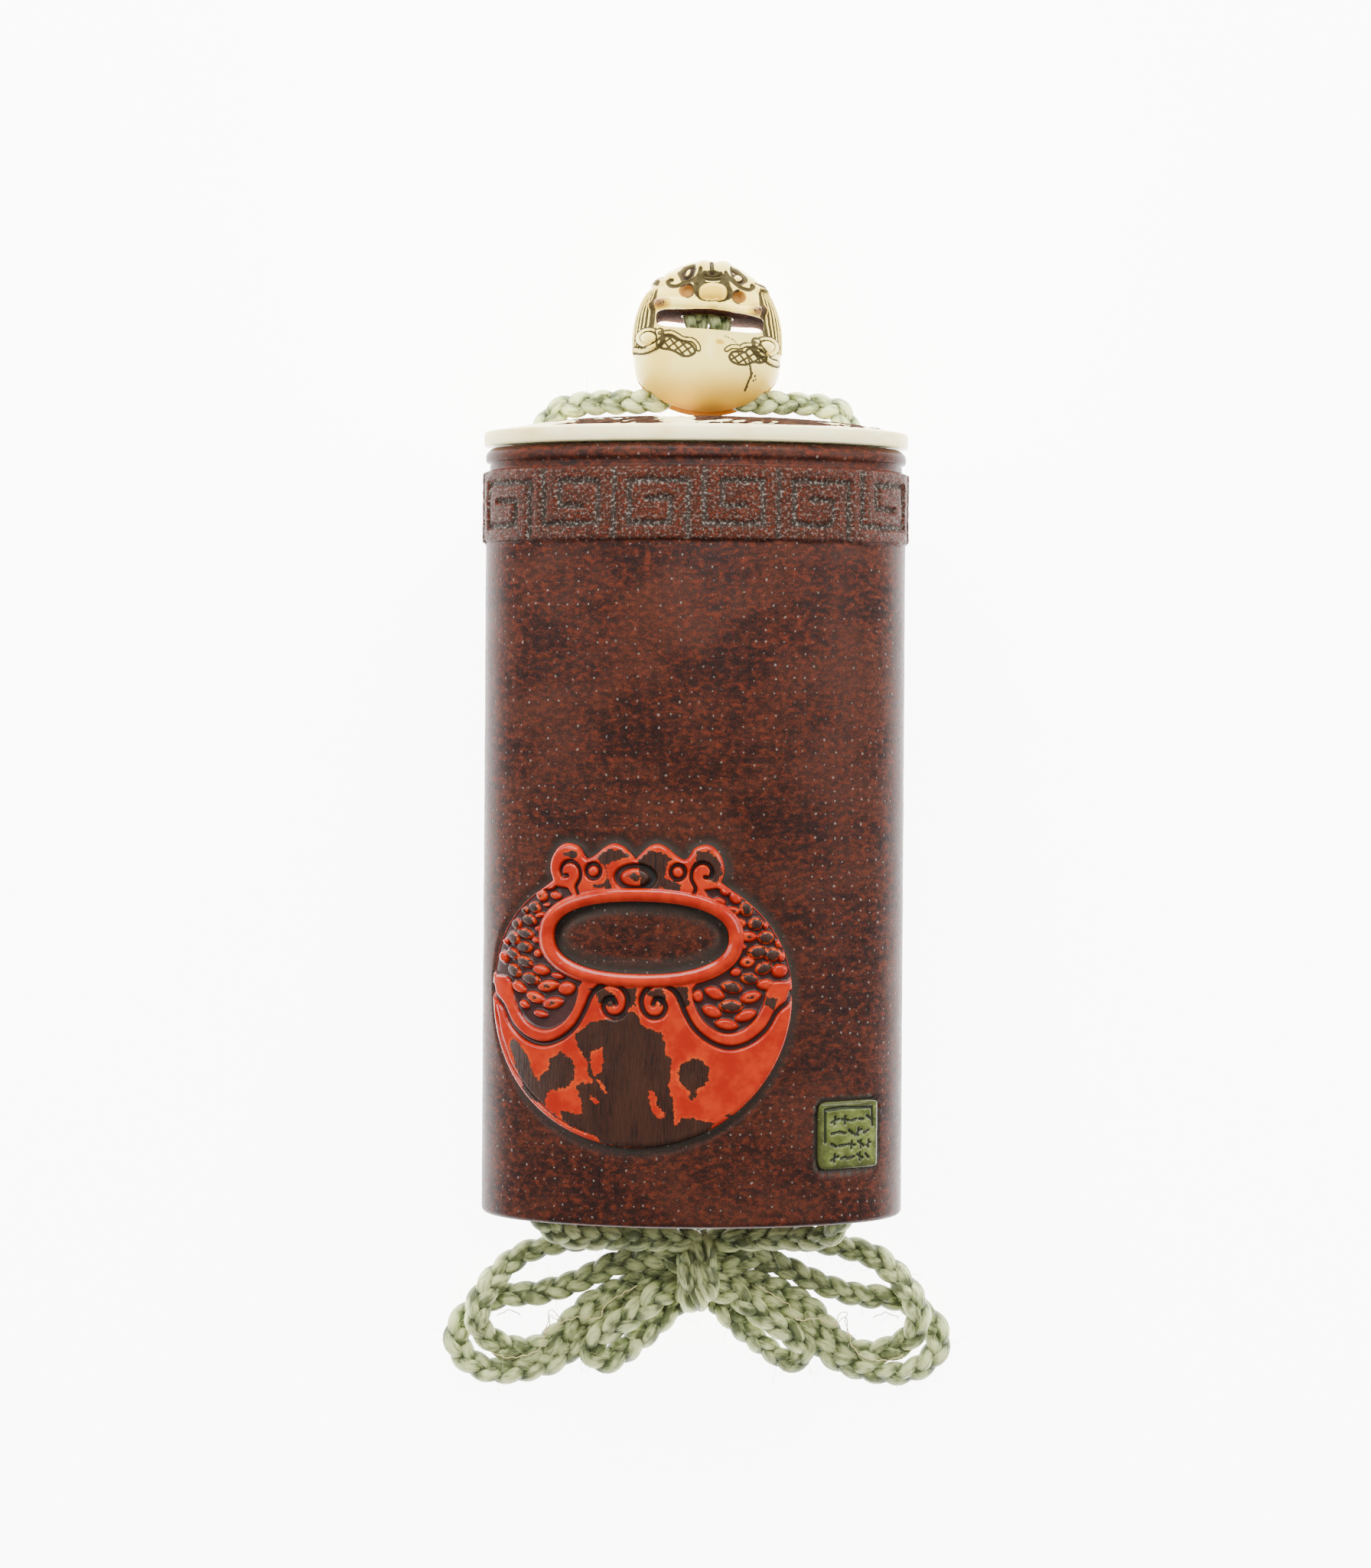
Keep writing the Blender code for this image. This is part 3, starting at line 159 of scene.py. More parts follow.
# %% Helpers for finishes
class Finish:
    """A node material. Each method adds a node and returns its result, to be passed on to the next."""

    def __init__(self, name):
        """A new material with a single shader, whose sockets are set later."""
        self.material = bpy.data.materials.new(name)
        self.material.use_nodes = True
        self.tree = self.material.node_tree
        self.shader = self.tree.nodes["Principled BSDF"]

    def put(self, value, socket):
        """Links a result to a socket, or sets the socket to a number or a colour."""
        if hasattr(value, "is_linked"):
            self.tree.links.new(value, socket)
        elif hasattr(socket.default_value, "__len__") and not hasattr(value, "__len__"):
            socket.default_value = [value] * len(socket.default_value)
        elif hasattr(value, "__len__") and len(value) == 3 and len(socket.default_value) == 4:
            socket.default_value = (*value, 1)
        else:
            socket.default_value = value

    def place(self, scale=(1, 1, 1), flat=False, turn=(0, 0, 0)):
        """Object coordinates, or the flat map, in units of one over scale."""
        source = self.tree.nodes.new("ShaderNodeTexCoord")
        mapping = self.tree.nodes.new("ShaderNodeMapping")
        mapping.inputs["Scale"].default_value = scale
        mapping.inputs["Rotation"].default_value = turn
        self.tree.links.new(source.outputs["UV" if flat else "Object"], mapping.inputs["Vector"])
        return mapping.outputs["Vector"]

    def value_of(self, word):
        """A named value of the mesh's points."""
        node = self.tree.nodes.new("ShaderNodeAttribute")
        node.attribute_name = word
        return node.outputs["Fac"]

    def noise(self, place, scale=1.0, detail=3.0, roughness=0.5, distortion=0.0):
        """Cloudy noise from 0 to 1."""
        node = self.tree.nodes.new("ShaderNodeTexNoise")
        self.put(place, node.inputs["Vector"])
        node.inputs["Scale"].default_value = scale
        node.inputs["Detail"].default_value = detail
        node.inputs["Roughness"].default_value = roughness
        node.inputs["Distortion"].default_value = distortion
        return node.outputs["Fac"]

    def cells(self, place, scale=1.0, feature="F1", randomness=1.0):
        """Cells round scattered points. The node gives the distance to each point, and a random colour."""
        node = self.tree.nodes.new("ShaderNodeTexVoronoi")
        node.feature = feature
        self.put(place, node.inputs["Vector"])
        node.inputs["Scale"].default_value = scale
        node.inputs["Randomness"].default_value = randomness
        return node

    def sum(self, kind, a, b=0.0, c=0.0):
        """One step of arithmetic: kind names it, as in ADD or MULTIPLY."""
        node = self.tree.nodes.new("ShaderNodeMath")
        node.operation = kind
        for value, socket in zip((a, b, c), node.inputs):
            self.put(value, socket)
        return node.outputs[0]

    def times(self, a, b):
        """One value times another."""
        return self.sum("MULTIPLY", a, b)

    def plus(self, a, b):
        """Two values added up."""
        return self.sum("ADD", a, b)

    def parts(self, place):
        """The three numbers of a place or a colour."""
        node = self.tree.nodes.new("ShaderNodeSeparateXYZ")
        self.put(place, node.inputs[0])
        return node.outputs[0], node.outputs[1], node.outputs[2]

    def join(self, x, y, z=0.0):
        """A place from three numbers."""
        node = self.tree.nodes.new("ShaderNodeCombineXYZ")
        for value, socket in zip((x, y, z), node.inputs):
            self.put(value, socket)
        return node.outputs[0]

    def spread(self, value, low, high, to_low=0.0, to_high=1.0):
        """Smooth step of a value between two limits, given out between two others."""
        node = self.tree.nodes.new("ShaderNodeMapRange")
        node.interpolation_type = "SMOOTHSTEP"
        for number, socket in zip((value, low, high, to_low, to_high), node.inputs):
            self.put(number, socket)
        return node.outputs[0]

    def blend(self, share, one, two):
        """A colour between two: one at share 0, two at share 1."""
        node = self.tree.nodes.new("ShaderNodeMix")
        node.data_type = "RGBA"
        self.put(share, node.inputs[0])
        self.put(one, node.inputs[6])
        self.put(two, node.inputs[7])
        return node.outputs[2]

    def bump(self, height, distance, strength=1.0, under=None):
        """Surface directions bent by a height pattern, over another bump if there is one."""
        node = self.tree.nodes.new("ShaderNodeBump")
        node.inputs["Strength"].default_value = strength
        node.inputs["Distance"].default_value = distance
        self.put(height, node.inputs["Height"])
        if under is not None:
            self.put(under, node.inputs["Normal"])
        return node.outputs[0]

    def set(self, **inputs):
        """Puts results into the shader's sockets, named with _ for a space."""
        for word, value in inputs.items():
            self.put(value, self.shader.inputs[word.replace("_", " ")])
        self.tell()

    def tell(self):
        """Prints how many nodes the finish has so far."""
        print(self.material.name, "has", len(self.tree.nodes), "nodes")


# %% [markdown]
# The cord is braided silk in two halves that run side by side: out of the bead, over the lid, down
# through the wall of the box and out of its base, where both are tied in a double bow. Each half lies
# along listed points: how far to one side, how far above the base and how high above the floor.
# Inside the knot a half crosses to the other side, so each half makes a loop on both sides.

# %% Route of the cord
BASE_Y = -63.4
BOW_X = 1.0
BEAD_X = 1.4
CORD_ROUTE = ((1.55, 122.9, 8.9), (1.55, 119.0, 8.9), (1.6, 115.4, 8.9), (2.1, 112.2, 8.9),
              (3.6, 109.5, 9.0), (6.0, 108.1, 9.3), (9.2, 107.8, 9.9), (12.6, 107.6, 10.9),
              (15.8, 107.2, 12.1), (18.6, 106.3, 13.1), (20.1, 104.2, 13.7), (20.55, 101.6, 13.9),
              (20.6, 98.6, 13.9), (20.6, 94.6, 13.9), (20.6, 88.6, 13.9), (20.6, 79.6, 13.9),
              (20.6, 67.0, 13.9), (20.6, 51.0, 13.9), (20.6, 35.0, 13.9), (20.6, 23.5, 13.9),
              (20.6, 15.5, 13.9), (20.6, 10.0, 13.9), (20.6, 6.3, 13.9), (20.55, 3.2, 13.85),
              (20.2, 0.4, 13.6), (19.2, -1.9, 12.9), (17.2, -3.5, 11.7), (14.0, -4.1, 10.1),
              (10.1, -4.3, 8.4), (6.6, -4.6, 7.2), (3.9, -4.8, 6.7))
CORD_MIDDLE_HEIGHTS = (-4.5, -1.5, 104.0, 113.0)
OUTER_LOOP = ((4.5, -5.5, 3.4), (8.5, -5.3, 2.0), (12.5, -5.4, 1.5), (16.0, -5.9, 1.5), (19.4, -6.5, 1.5),
              (23.8, -7.8, 1.5), (26.5, -9.8, 1.9), (28.4, -11.8, 3.2), (29.7, -14.1, 4.1),
              (29.9, -16.4, 3.9), (29.3, -18.2, 3.0), (27.5, -19.9, 2.0), (25.0, -20.9, 1.5),
              (22.7, -21.0, 1.5), (20.4, -20.1, 1.5), (18.5, -18.5, 1.5), (16.8, -16.7, 1.5),
              (14.9, -14.7, 1.5), (12.4, -13.2, 1.6), (9.2, -11.6, 2.2), (5.8, -10.4, 3.2))
INNER_LOOP = ((4.6, -7.6, 4.4), (8.1, -8.0, 3.4), (11.5, -9.1, 2.2), (14.9, -10.8, 1.6), (18.2, -12.2, 1.5),
              (22.4, -13.3, 1.5), (25.5, -13.4, 1.5), (28.6, -14.2, 1.5), (31.1, -15.9, 1.5),
              (32.7, -18.0, 1.5), (32.8, -20.2, 1.5), (31.5, -22.2, 1.5), (29.0, -23.6, 1.5),
              (26.1, -23.9, 1.5), (22.8, -23.4, 1.5), (19.4, -22.2, 1.5), (16.7, -20.1, 1.5),
              (14.4, -17.8, 1.5), (12.0, -15.8, 1.5), (9.0, -14.2, 1.7), (5.6, -12.7, 2.7))
LOBE = ((4.6, -12.4, 4.5), (7.2, -14.4, 4.6), (10.0, -16.4, 4.2), (12.6, -18.2, 3.2), (14.3, -20.0, 2.2),
        (14.2, -21.7, 1.6), (12.4, -22.3, 1.5), (10.6, -21.3, 1.6), (8.6, -19.6, 2.4), (6.4, -17.6, 3.2),
        (4.2, -15.4, 3.6))


def half_cord_line(side, layer):
    """The points of one half: its way down the box, and then the loops of the bow on both sides."""
    down = np.array(CORD_ROUTE)
    middle = np.interp(down[:, 1], CORD_MIDDLE_HEIGHTS, (BOW_X, 0, 0, BEAD_X))
    line = [np.stack([middle + side * down[:, 0], BASE_Y + down[:, 1], down[:, 2]], axis=1)]

    def bow(points, way):
        """Points of a loop, placed to one side of the bow's middle."""
        points = np.array(points)
        return np.stack([BOW_X + way * points[:, 0], BASE_Y + points[:, 1], points[:, 2]], axis=1)

    line.append(bow([(0.0, -5.3, 4.6 + layer)], 1))
    line.append(bow(OUTER_LOOP, -side))
    line.append(bow([(0.0, -8.9, 4.0 + layer)], 1))
    line.append(bow(INNER_LOOP, side))
    line.append(bow([(0.0, -12.0, 3.8 + layer)], 1))
    line.append(bow(LOBE, -side))
    line.append(bow([(2.0, -13.2, 3.4)], -side))
    return even_line(smooth_line(np.concatenate(line), 12), 0.36)


cord_lines = {"left": half_cord_line(-1, 1.1), "right": half_cord_line(1, -1.1)}
cord_lengths = {word: float(np.linalg.norm(np.diff(line, axis=0), axis=1).sum()) * MM
                for word, line in cord_lines.items()}
print("cord lengths in metres", cord_lengths)

# %% [markdown]
# The silk is a plump plait. Strand k of three lies at phase t + k/3 of a turn: to the side by
# a cos t and in height by b sin 2t, so that it swings from edge to edge and passes over one strand and
# under the next. Its section is an ellipse that leans with it. The plait is carried along the cord's
# line with a frame of three directions at each point, which rolls a little from side to side. It is
# soft: squeezed in its channel through the box and flattened where it lies on the table.

# %% Plaited cord
PLAIT_TURN = 9.2
STRAND_SWING = 0.68
STRAND_LIFT = 0.38
STRAND_WIDE = 1.02
STRAND_THICK = 0.88


def directions(line, steady=(0, 0, 1)):
    """Unit directions along a line, to its side and upwards, which is square to the line and the side."""
    along = np.gradient(line, axis=0)
    along /= np.linalg.norm(along, axis=1, keepdims=True)
    aside = np.cross(along, steady)
    aside /= np.linalg.norm(aside, axis=1, keepdims=True)
    return aside, np.cross(aside, along)


def tube(line, aside, upward, wide, thick, sides):
    """Rings of an ellipse round a line: centre + wide cos k aside + thick sin k upward."""
    turn = np.linspace(0, 2 * math.pi, sides + 1)
    wide = np.asarray(wide).reshape(-1, 1, 1)
    thick = np.asarray(thick).reshape(-1, 1, 1)
    return (line[:, None] + wide * np.cos(turn)[None, :, None] * aside[:, None]
            + thick * np.sin(turn)[None, :, None] * upward[:, None])


def plait(name, line, size=1.0, seed=1, ends=1.2, sides=14, steady=(0, 0, 1)):
    """Three woven strands along a line, whose flat map runs along and round each strand."""
    random = np.random.default_rng(seed)
    aside, upward = directions(line, steady)
    run = np.concatenate([[0], np.cumsum(np.linalg.norm(np.diff(line, axis=0), axis=1))])
    swell = 1 + 0.05 * np.interp(run, np.linspace(0, run[-1], 60), random.normal(size=60))
    taper = size * swell * (0.35 + 0.65 * rise(0, ends, run) * rise(0, ends, run[-1] - run))
    in_channel = (rise(BASE_Y + 3, BASE_Y + 9, line[:, 1])
                  * (1 - rise(BASE_Y + 98, BASE_Y + 103, line[:, 1])))
    taper = taper * (1 - 0.24 * in_channel)
    roll = np.interp(run, np.linspace(0, run[-1], 26), random.normal(size=26)) * 0.22
    side = np.cos(roll)[:, None] * aside + np.sin(roll)[:, None] * upward
    top = np.cos(roll)[:, None] * upward - np.sin(roll)[:, None] * aside
    drift = np.interp(run, np.linspace(0, run[-1], 24), random.normal(size=24)) * 0.30
    points = []
    faces = []
    flat = []
    shade = []
    first = 0
    for strand in range(3):
        turn = 2 * math.pi * (run / PLAIT_TURN + strand / 3) + drift
        middle = (line + (STRAND_SWING * np.cos(turn) * taper)[:, None] * side
                  + (STRAND_LIFT * np.sin(2 * turn) * taper)[:, None] * top)
        forward = np.gradient(middle, axis=0)
        forward /= np.linalg.norm(forward, axis=1, keepdims=True)
        beside = np.cross(forward, top)
        beside /= np.linalg.norm(beside, axis=1, keepdims=True)
        lift = np.cross(beside, forward)
        plump = taper * (1 + 0.10 * np.cos(2 * turn))
        rings = tube(middle, beside, lift, STRAND_WIDE * plump, STRAND_THICK * plump, sides)
        rings[..., 2] = np.maximum(rings[..., 2], 0.06)
        points.append(rings.reshape(-1, 3))
        faces.append(grid_faces(len(line), sides + 1, first))
        caps = np.array([[first + k for k in range(sides)],
                         [first + (len(line) - 1) * (sides + 1) + k for k in range(sides)]])
        faces.append(caps)
        u, v = np.meshgrid(run + 7.3 * strand, np.linspace(0, 1, sides + 1), indexing="ij")
        flat.append(np.stack([u.ravel(), v.ravel() + strand], axis=1))
        # The depth value, how far each point lies out from the cord's line, is what the finish turns into
        # painted shade in the hollows and painted highlight on the crests.
        offset = rings - line[:, None]
        out = np.hypot((offset * side[:, None]).sum(axis=2), 1.35 * (offset * top[:, None]).sum(axis=2))
        shade.append((out / taper[:, None]).ravel())
        first += rings.shape[0] * rings.shape[1]
    return make_piece(name, np.concatenate(points) * MM, faces, np.concatenate(flat),
                      {"depth": np.concatenate(shade)})


cords = {}
for word, layer in (("left", 3), ("right", 8)):
    cords[word] = plait(f"silk_cord_{word}", cord_lines[word], seed=layer)

# %% [markdown]
# The knot of the bow is two turns of the same cord round all the strands that pass through it. Each
# turn is a flattened ring in the plane across the strands.

# %% Knot of the bow
KNOT_UP = -9.6
turns = np.linspace(0.15, 2.35, 160) * 2 * math.pi
corner = 0.75
knot_line = np.stack([
    BOW_X - 1.75 + 3.3 * (turns / (2 * math.pi) - 0.15) / 2.2,
    BASE_Y + KNOT_UP + 4.0 * np.sign(np.cos(turns)) * np.abs(np.cos(turns)) ** corner,
    4.0 + 2.55 * np.sign(np.sin(turns)) * np.abs(np.sin(turns)) ** corner], axis=1)
knot = plait("silk_knot", even_line(knot_line, 0.36), size=1.04, seed=5, ends=0.4, steady=(1, 0, 0))

# %% [markdown]
# Silk sheds fine hairs, and on each side of the bow a yellow thread and a short dark red one have come
# loose. A hair starts inside the cord, runs out across it and bends over. All hairs are one table of
# points, and each becomes a thin tube with three sides.

# %% Loose threads and hairs
def thin_tubes(paths, radius):
    """Three-sided tubes with flat ends round many paths of equal length: points and faces."""
    paths = np.array(paths, dtype=float)
    paths[..., 2] = np.maximum(paths[..., 2], 0.03 + radius)
    count, steps = paths.shape[:2]
    along = np.gradient(paths, axis=1)
    along /= np.linalg.norm(along, axis=2, keepdims=True) + 1e-9
    aside = np.cross(along, (0.31, 0.17, 0.93))
    aside /= np.linalg.norm(aside, axis=2, keepdims=True) + 1e-9
    above = np.cross(aside, along)
    turn = np.arange(3) * math.tau / 3
    rings = (paths[:, :, None] + radius * (np.cos(turn)[:, None] * aside[:, :, None]
                                           + np.sin(turn)[:, None] * above[:, :, None]))
    first = np.arange(count)[:, None, None] * steps * 3 + np.arange(steps - 1)[:, None] * 3
    here, after = np.arange(3), (np.arange(3) + 1) % 3
    sides = np.stack([first + here, first + after, first + after + 3, first + here + 3],
                     axis=-1).reshape(-1, 4)
    start = np.arange(count)[:, None] * steps * 3 + here
    return rings.reshape(-1, 3), [sides, start, start + (steps - 1) * 3]


random = np.random.default_rng(23)
HAIRS = 1500
both = np.concatenate([cord_lines["left"], cord_lines["right"]])
both = both[(both[:, 1] < BASE_Y - 2) | (both[:, 1] > BASE_Y + 104)]
root = both[random.integers(0, len(both), HAIRS)]
way = random.normal(size=(HAIRS, 3)) * (1, 1, 0.6) + (0, 0, 0.25)
way /= np.linalg.norm(way, axis=1, keepdims=True)
bend = random.normal(size=(HAIRS, 3)) * 0.55
reach = random.uniform(0.5, 1.5, (HAIRS, 1, 1)) ** 2
step = np.linspace(0, 1, 6)[None, :, None]
paths = root[:, None] + way[:, None] * (0.9 + reach * step) + bend[:, None] * reach * step ** 2
hair_points, hair_faces = thin_tubes(paths, 0.022)
YELLOW_THREAD = ((-8.2, -11.2, 6.3), (-10.1, -12.3, 6.1), (-12.4, -13.9, 5.6), (-13.4, -15.8, 5.4),
                 (-16.0, -15.8, 4.4), (-18.6, -16.7, 3.6), (-20.0, -15.8, 3.3), (-20.5, -17.7, 3.3),
                 (-21.2, -20.0, 3.3), (-22.8, -21.2, 3.2), (-25.7, -21.7, 3.1), (-28.0, -21.0, 3.0))
FRAYED_THREAD = ((-18.6, -16.7, 3.7), (-19.2, -15.5, 3.5), (-20.3, -15.1, 3.4), (-20.1, -16.8, 3.4),
                 (-20.7, -18.6, 3.3))
RED_THREAD = ((-27.3, -16.0, 2.9), (-25.9, -15.3, 3.0), (-24.9, -15.4, 3.0), (-24.0, -16.0, 2.9))
points, faces, tints = [hair_points], list(hair_faces), [np.zeros(len(hair_points))]
first = len(hair_points)
for line, tint in ((YELLOW_THREAD, 1.0), (FRAYED_THREAD, 1.0), (RED_THREAD, 2.0)):
    for side in (1, -1):
        path = np.array(line) * (side, 1, 1) + (BOW_X, BASE_Y, 0.35)
        path = even_line(smooth_line(path, 8), 0.3)
        path[:, :2] += 0.10 * np.sin(np.arange(len(path))[:, None] * (0.9, 1.3))
        places, groups = thin_tubes(path[None], 0.075)
        points.append(places)
        faces += [group + first for group in groups]
        tints.append(np.full(len(places), tint))
        first += len(places)
threads = make_piece("loose_threads", np.concatenate(points) * MM, faces, None,
                     {"tint": np.concatenate(tints)}, weld=1e-9)

# %% [markdown]
# The two halves of the cord, the knot and the loose threads belong to the fixed body, and they stand
# for the plain tubes of the imported solids.

for word, side in (("left", -1), ("right", 1)):
    other = "right" if word == "left" else "left"
    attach(cords[word], "root")
    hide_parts(f"cord_{word}", f"bow_{word}")
    start = cord_lines[word][0] * MM
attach(threads, "root")
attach(knot, "root")
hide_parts("bow_knot")
print("cords declared:", sorted(cords))

# %% [markdown]
# The box was carved in wood and then lacquered. In section it is an oval, an ellipse that rests on a
# flat strip. Everything on its wall is placed by the way round it from the middle of the
# front and by the height above its base, so the wall is a flat sheet that is wrapped on at the end.

# %% The oval
BODY_HALF_WIDTH = 27.8
BODY_HALF_DEPTH = 14.0
BODY_HEIGHT = 101.0
BODY_Z = BODY_HALF_DEPTH * math.cos(math.tau / 44)
oval_angles = np.linspace(-math.pi, math.pi, 14401)
oval_speed = np.hypot(BODY_HALF_WIDTH * np.cos(oval_angles), BODY_HALF_DEPTH * np.sin(oval_angles))
oval_arc = np.concatenate([[0], np.cumsum((oval_speed[1:] + oval_speed[:-1]) / 2 * np.diff(oval_angles))])
oval_arc -= oval_arc[-1] / 2
HALF_ROUND = float(oval_arc[-1])
print("length round the box in mm", round(2 * HALF_ROUND, 2))


def on_oval(across, up, relief):
    """Wraps a sheet: the ellipse's point at that arc length, moved out along its normal by the relief."""
    angle = np.interp(across, oval_arc, oval_angles)
    outward = np.stack([BODY_HALF_DEPTH * np.sin(angle), BODY_HALF_WIDTH * np.cos(angle)])
    outward /= np.linalg.norm(outward, axis=0)
    x = BODY_HALF_WIDTH * np.sin(angle) + relief * outward[0]
    z = BODY_Z + BODY_HALF_DEPTH * np.cos(angle) + relief * outward[1]
    return np.stack([x, BASE_Y + up + 0 * x, np.maximum(z, 0)], axis=-1)

# %% [markdown]
# Grooves and worn patches are drawn on the flat sheet as lines and outlines. These helpers measure how
# far each point of the sheet is from them, and give the soft unevenness of work done by hand.

# %% Distances on the flat sheet
def far_from(across, up, line, closed=False):
    """Distance of each point to the nearest piece of a line, and how far along the line that is."""
    line = np.asarray(line, dtype=float)
    ends = np.roll(line, -1, axis=0) if closed else line[1:]
    starts = line if closed else line[:-1]
    nearest = np.full(across.shape, 1e9)
    reach = np.zeros(across.shape)
    run = 0.0
    for (ax, ay), (bx, by) in zip(starts, ends):
        dx, dy = bx - ax, by - ay
        length = math.hypot(dx, dy) + 1e-12
        t = np.clip(((across - ax) * dx + (up - ay) * dy) / length ** 2, 0, 1)
        distance = np.hypot(across - ax - t * dx, up - ay - t * dy)
        closer = distance < nearest
        nearest = np.where(closer, distance, nearest)
        reach = np.where(closer, run + t * length, reach)
        run += length
    return nearest, reach


def inside(across, up, loop):
    """Whether each point is in a closed outline: an odd number of its edges lie to the right."""
    hit = np.zeros(across.shape, dtype=bool)
    for (ax, ay), (bx, by) in zip(loop, np.roll(loop, -1, axis=0)):
        if ay != by:
            crosses = ((by > up) != (ay > up)) & (across < (ax - bx) * (up - by) / (ay - by) + bx)
            hit ^= crosses
    return hit


def within(across, up, loop):
    """Signed distance to a closed outline: positive inside, negative outside."""
    distance = far_from(across, up, loop, closed=True)[0]
    return np.where(inside(across, up, np.asarray(loop)), distance, -distance)


def ripple(across, up, size, seed, octaves=3):
    """Smooth pseudo-random waves of about that size, from sums of sines in turned directions."""
    random = np.random.default_rng(seed)
    total = np.zeros(np.broadcast(across, up).shape)
    weight = 0.0
    for octave in range(octaves):
        for _ in range(6):
            way = random.uniform(0, math.tau)
            phase = random.uniform(0, math.tau)
            pitch = size / 2 ** octave * random.uniform(0.75, 1.3)
            total = total + np.sin((across * math.cos(way) + up * math.sin(way)) * math.tau / pitch
                                   + phase) / 2 ** octave
        weight += 2.2 / 2 ** octave
    return total / weight


# %% [markdown]
# The fish drum is a round wooden temple drum with two fish heads. On the front of the box it is a low
# relief, set in a pocket: a head edge with two ears, brows and a jewel, a long slot with a rolled lip,
# two fields of scales and a border that ends in two spirals. Its lines are shares of its half size.

# %% Lines of the fish drum
DRUM_SIZE = 20.2
DRUM_ACROSS = -7.4
DRUM_UP = 30.0
SLOT = (0.55, 7.37, 11.35, 4.67)
HEAD = ((0.0, 0.862), (0.040, 0.907), (0.087, 0.947), (0.144, 0.961), (0.199, 0.937), (0.252, 0.893),
        (0.310, 0.862), (0.343, 0.893), (0.374, 0.937), (0.446, 0.958), (0.504, 0.933), (0.547, 0.869),
        (0.561, 0.791), (0.540, 0.720))
BORDER = ((0.985, 0.020), (0.965, -0.040), (0.892, -0.104), (0.834, -0.203), (0.748, -0.281),
          (0.650, -0.322), (0.561, -0.324), (0.461, -0.281), (0.374, -0.203), (0.317, -0.104),
          (0.274, -0.005), (0.223, 0.050), (0.152, 0.070), (0.082, 0.046), (0.044, -0.020),
          (0.056, -0.096), (0.104, -0.138), (0.166, -0.130), (0.196, -0.080), (0.176, -0.030),
          (0.134, -0.024), (0.118, -0.056))
EAR = ((0.372, 0.560), (0.362, 0.625), (0.378, 0.680), (0.352, 0.740), (0.362, 0.806), (0.408, 0.842),
       (0.456, 0.832), (0.480, 0.790), (0.470, 0.752), (0.436, 0.752))
LOBE_EDGE = ((0.958, 0.090), (0.849, 0.074), (0.808, -0.061), (0.748, -0.161), (0.662, -0.225),
             (0.561, -0.239), (0.461, -0.189), (0.395, -0.104), (0.366, -0.019), (0.360, 0.040))
EYE = (0.268, 0.783)


def superellipse(across, up, half_width, half_height, count=96, power=2.0, start=0.0, stop=math.tau):
    """Points where |x/a|^p + |y/b|^p = 1, from one angle to another."""
    whole = abs(stop - start) > 6.28
    turn = np.linspace(start, stop, count + 1)[:-1] if whole else np.linspace(start, stop, count)
    cosine, sine = np.cos(turn), np.sin(turn)
    return np.stack([across + half_width * np.sign(cosine) * np.abs(cosine) ** (2 / power),
                     up + half_height * np.sign(sine) * np.abs(sine) ** (2 / power)], axis=1)


def drum_half_outline():
    """The right half of the drum's outline, from the head down to the belly."""
    head = smooth_line(HEAD, 6)
    flank = superellipse(0.13, 0, 0.87, 0.80, 40, 2.0, math.radians(56), math.radians(4))
    belly = superellipse(0, 0, 1, 0.97, 60, 2.0, math.radians(-4), math.radians(-90))
    return np.concatenate([head, flank, belly])


half = drum_half_outline()
drum_outline = np.concatenate([half, (half * (-1, 1))[::-1][1:-1]])
drum_outline = drum_outline * DRUM_SIZE + (DRUM_ACROSS, DRUM_UP)
slot_outline = superellipse(DRUM_ACROSS + SLOT[0], DRUM_UP + SLOT[1], SLOT[2], SLOT[3], 160, 2.3)
SEAL = (21.0, 11.7, 4.5, 4.4)
seal_outline = superellipse(*SEAL, 120, 9.0)
print("outline points", len(drum_outline))

# %% [markdown]
# The wall of the box is one fine sheet. Its relief is a sum of small functions: the rounded base edge,
# the fret band with its grooves, the neck groove and the rolled rim, and the hollows round the drum and
# the seal. Columns and rows stand closer where the front has detail.

# %% Wall of the box
FRET_LOW = 88.6
FRET_HEIGHT = 9.3
FRET_PAIRS = 6
FRET_PAIR = (2 * HALF_ROUND - 7.1) / FRET_PAIRS
fret_left, fret_right, fret_in = 1.03, FRET_PAIR / 2 - 2.06, 2.3
fret_spiral = np.array([(fret_left, 9.9), (fret_left, 1.9), (fret_right, 1.9), (fret_right, 7.4),
                        (fret_left + fret_in, 7.4), (fret_left + fret_in, 4.2),
                        (fret_right - fret_in, 4.2)])
fret_turned = np.array([FRET_PAIR, FRET_HEIGHT]) - fret_spiral
fret_bar = np.array([(FRET_PAIR / 2, -0.6), (FRET_PAIR / 2, 9.9)])

front = np.linspace(-34.4, 34.4, 247)
back = np.linspace(34.4, 2 * HALF_ROUND - 34.4, 134)
columns = np.concatenate([front, back[1:]])
columns = np.where(columns > HALF_ROUND, columns - 2 * HALF_ROUND, columns)
start = int(np.argmin(columns))
columns = np.concatenate([[-HALF_ROUND], columns[start:], columns[:start], [HALF_ROUND]])
edge_turn = np.linspace(0, math.pi / 2, 6)[:-1]
heights = np.concatenate([0.8 * (1 - np.cos(edge_turn)), np.linspace(0.8, 9.6, 13)[:-1],
                          np.linspace(9.6, 51.0, 120)[:-1], np.linspace(51.0, 88.0, 44)[:-1],
                          np.linspace(88.0, 98.1, 52)[:-1], np.linspace(98.1, 101.0, 15)])
across, up = np.meshgrid(columns, heights)
edge = np.where(up < 0.8, -0.8 + np.sqrt(np.clip(0.64 - (0.8 - up) ** 2, 0, None)), 0)
seam = 1 - rise(HALF_ROUND - 5, HALF_ROUND - 1, np.abs(across))
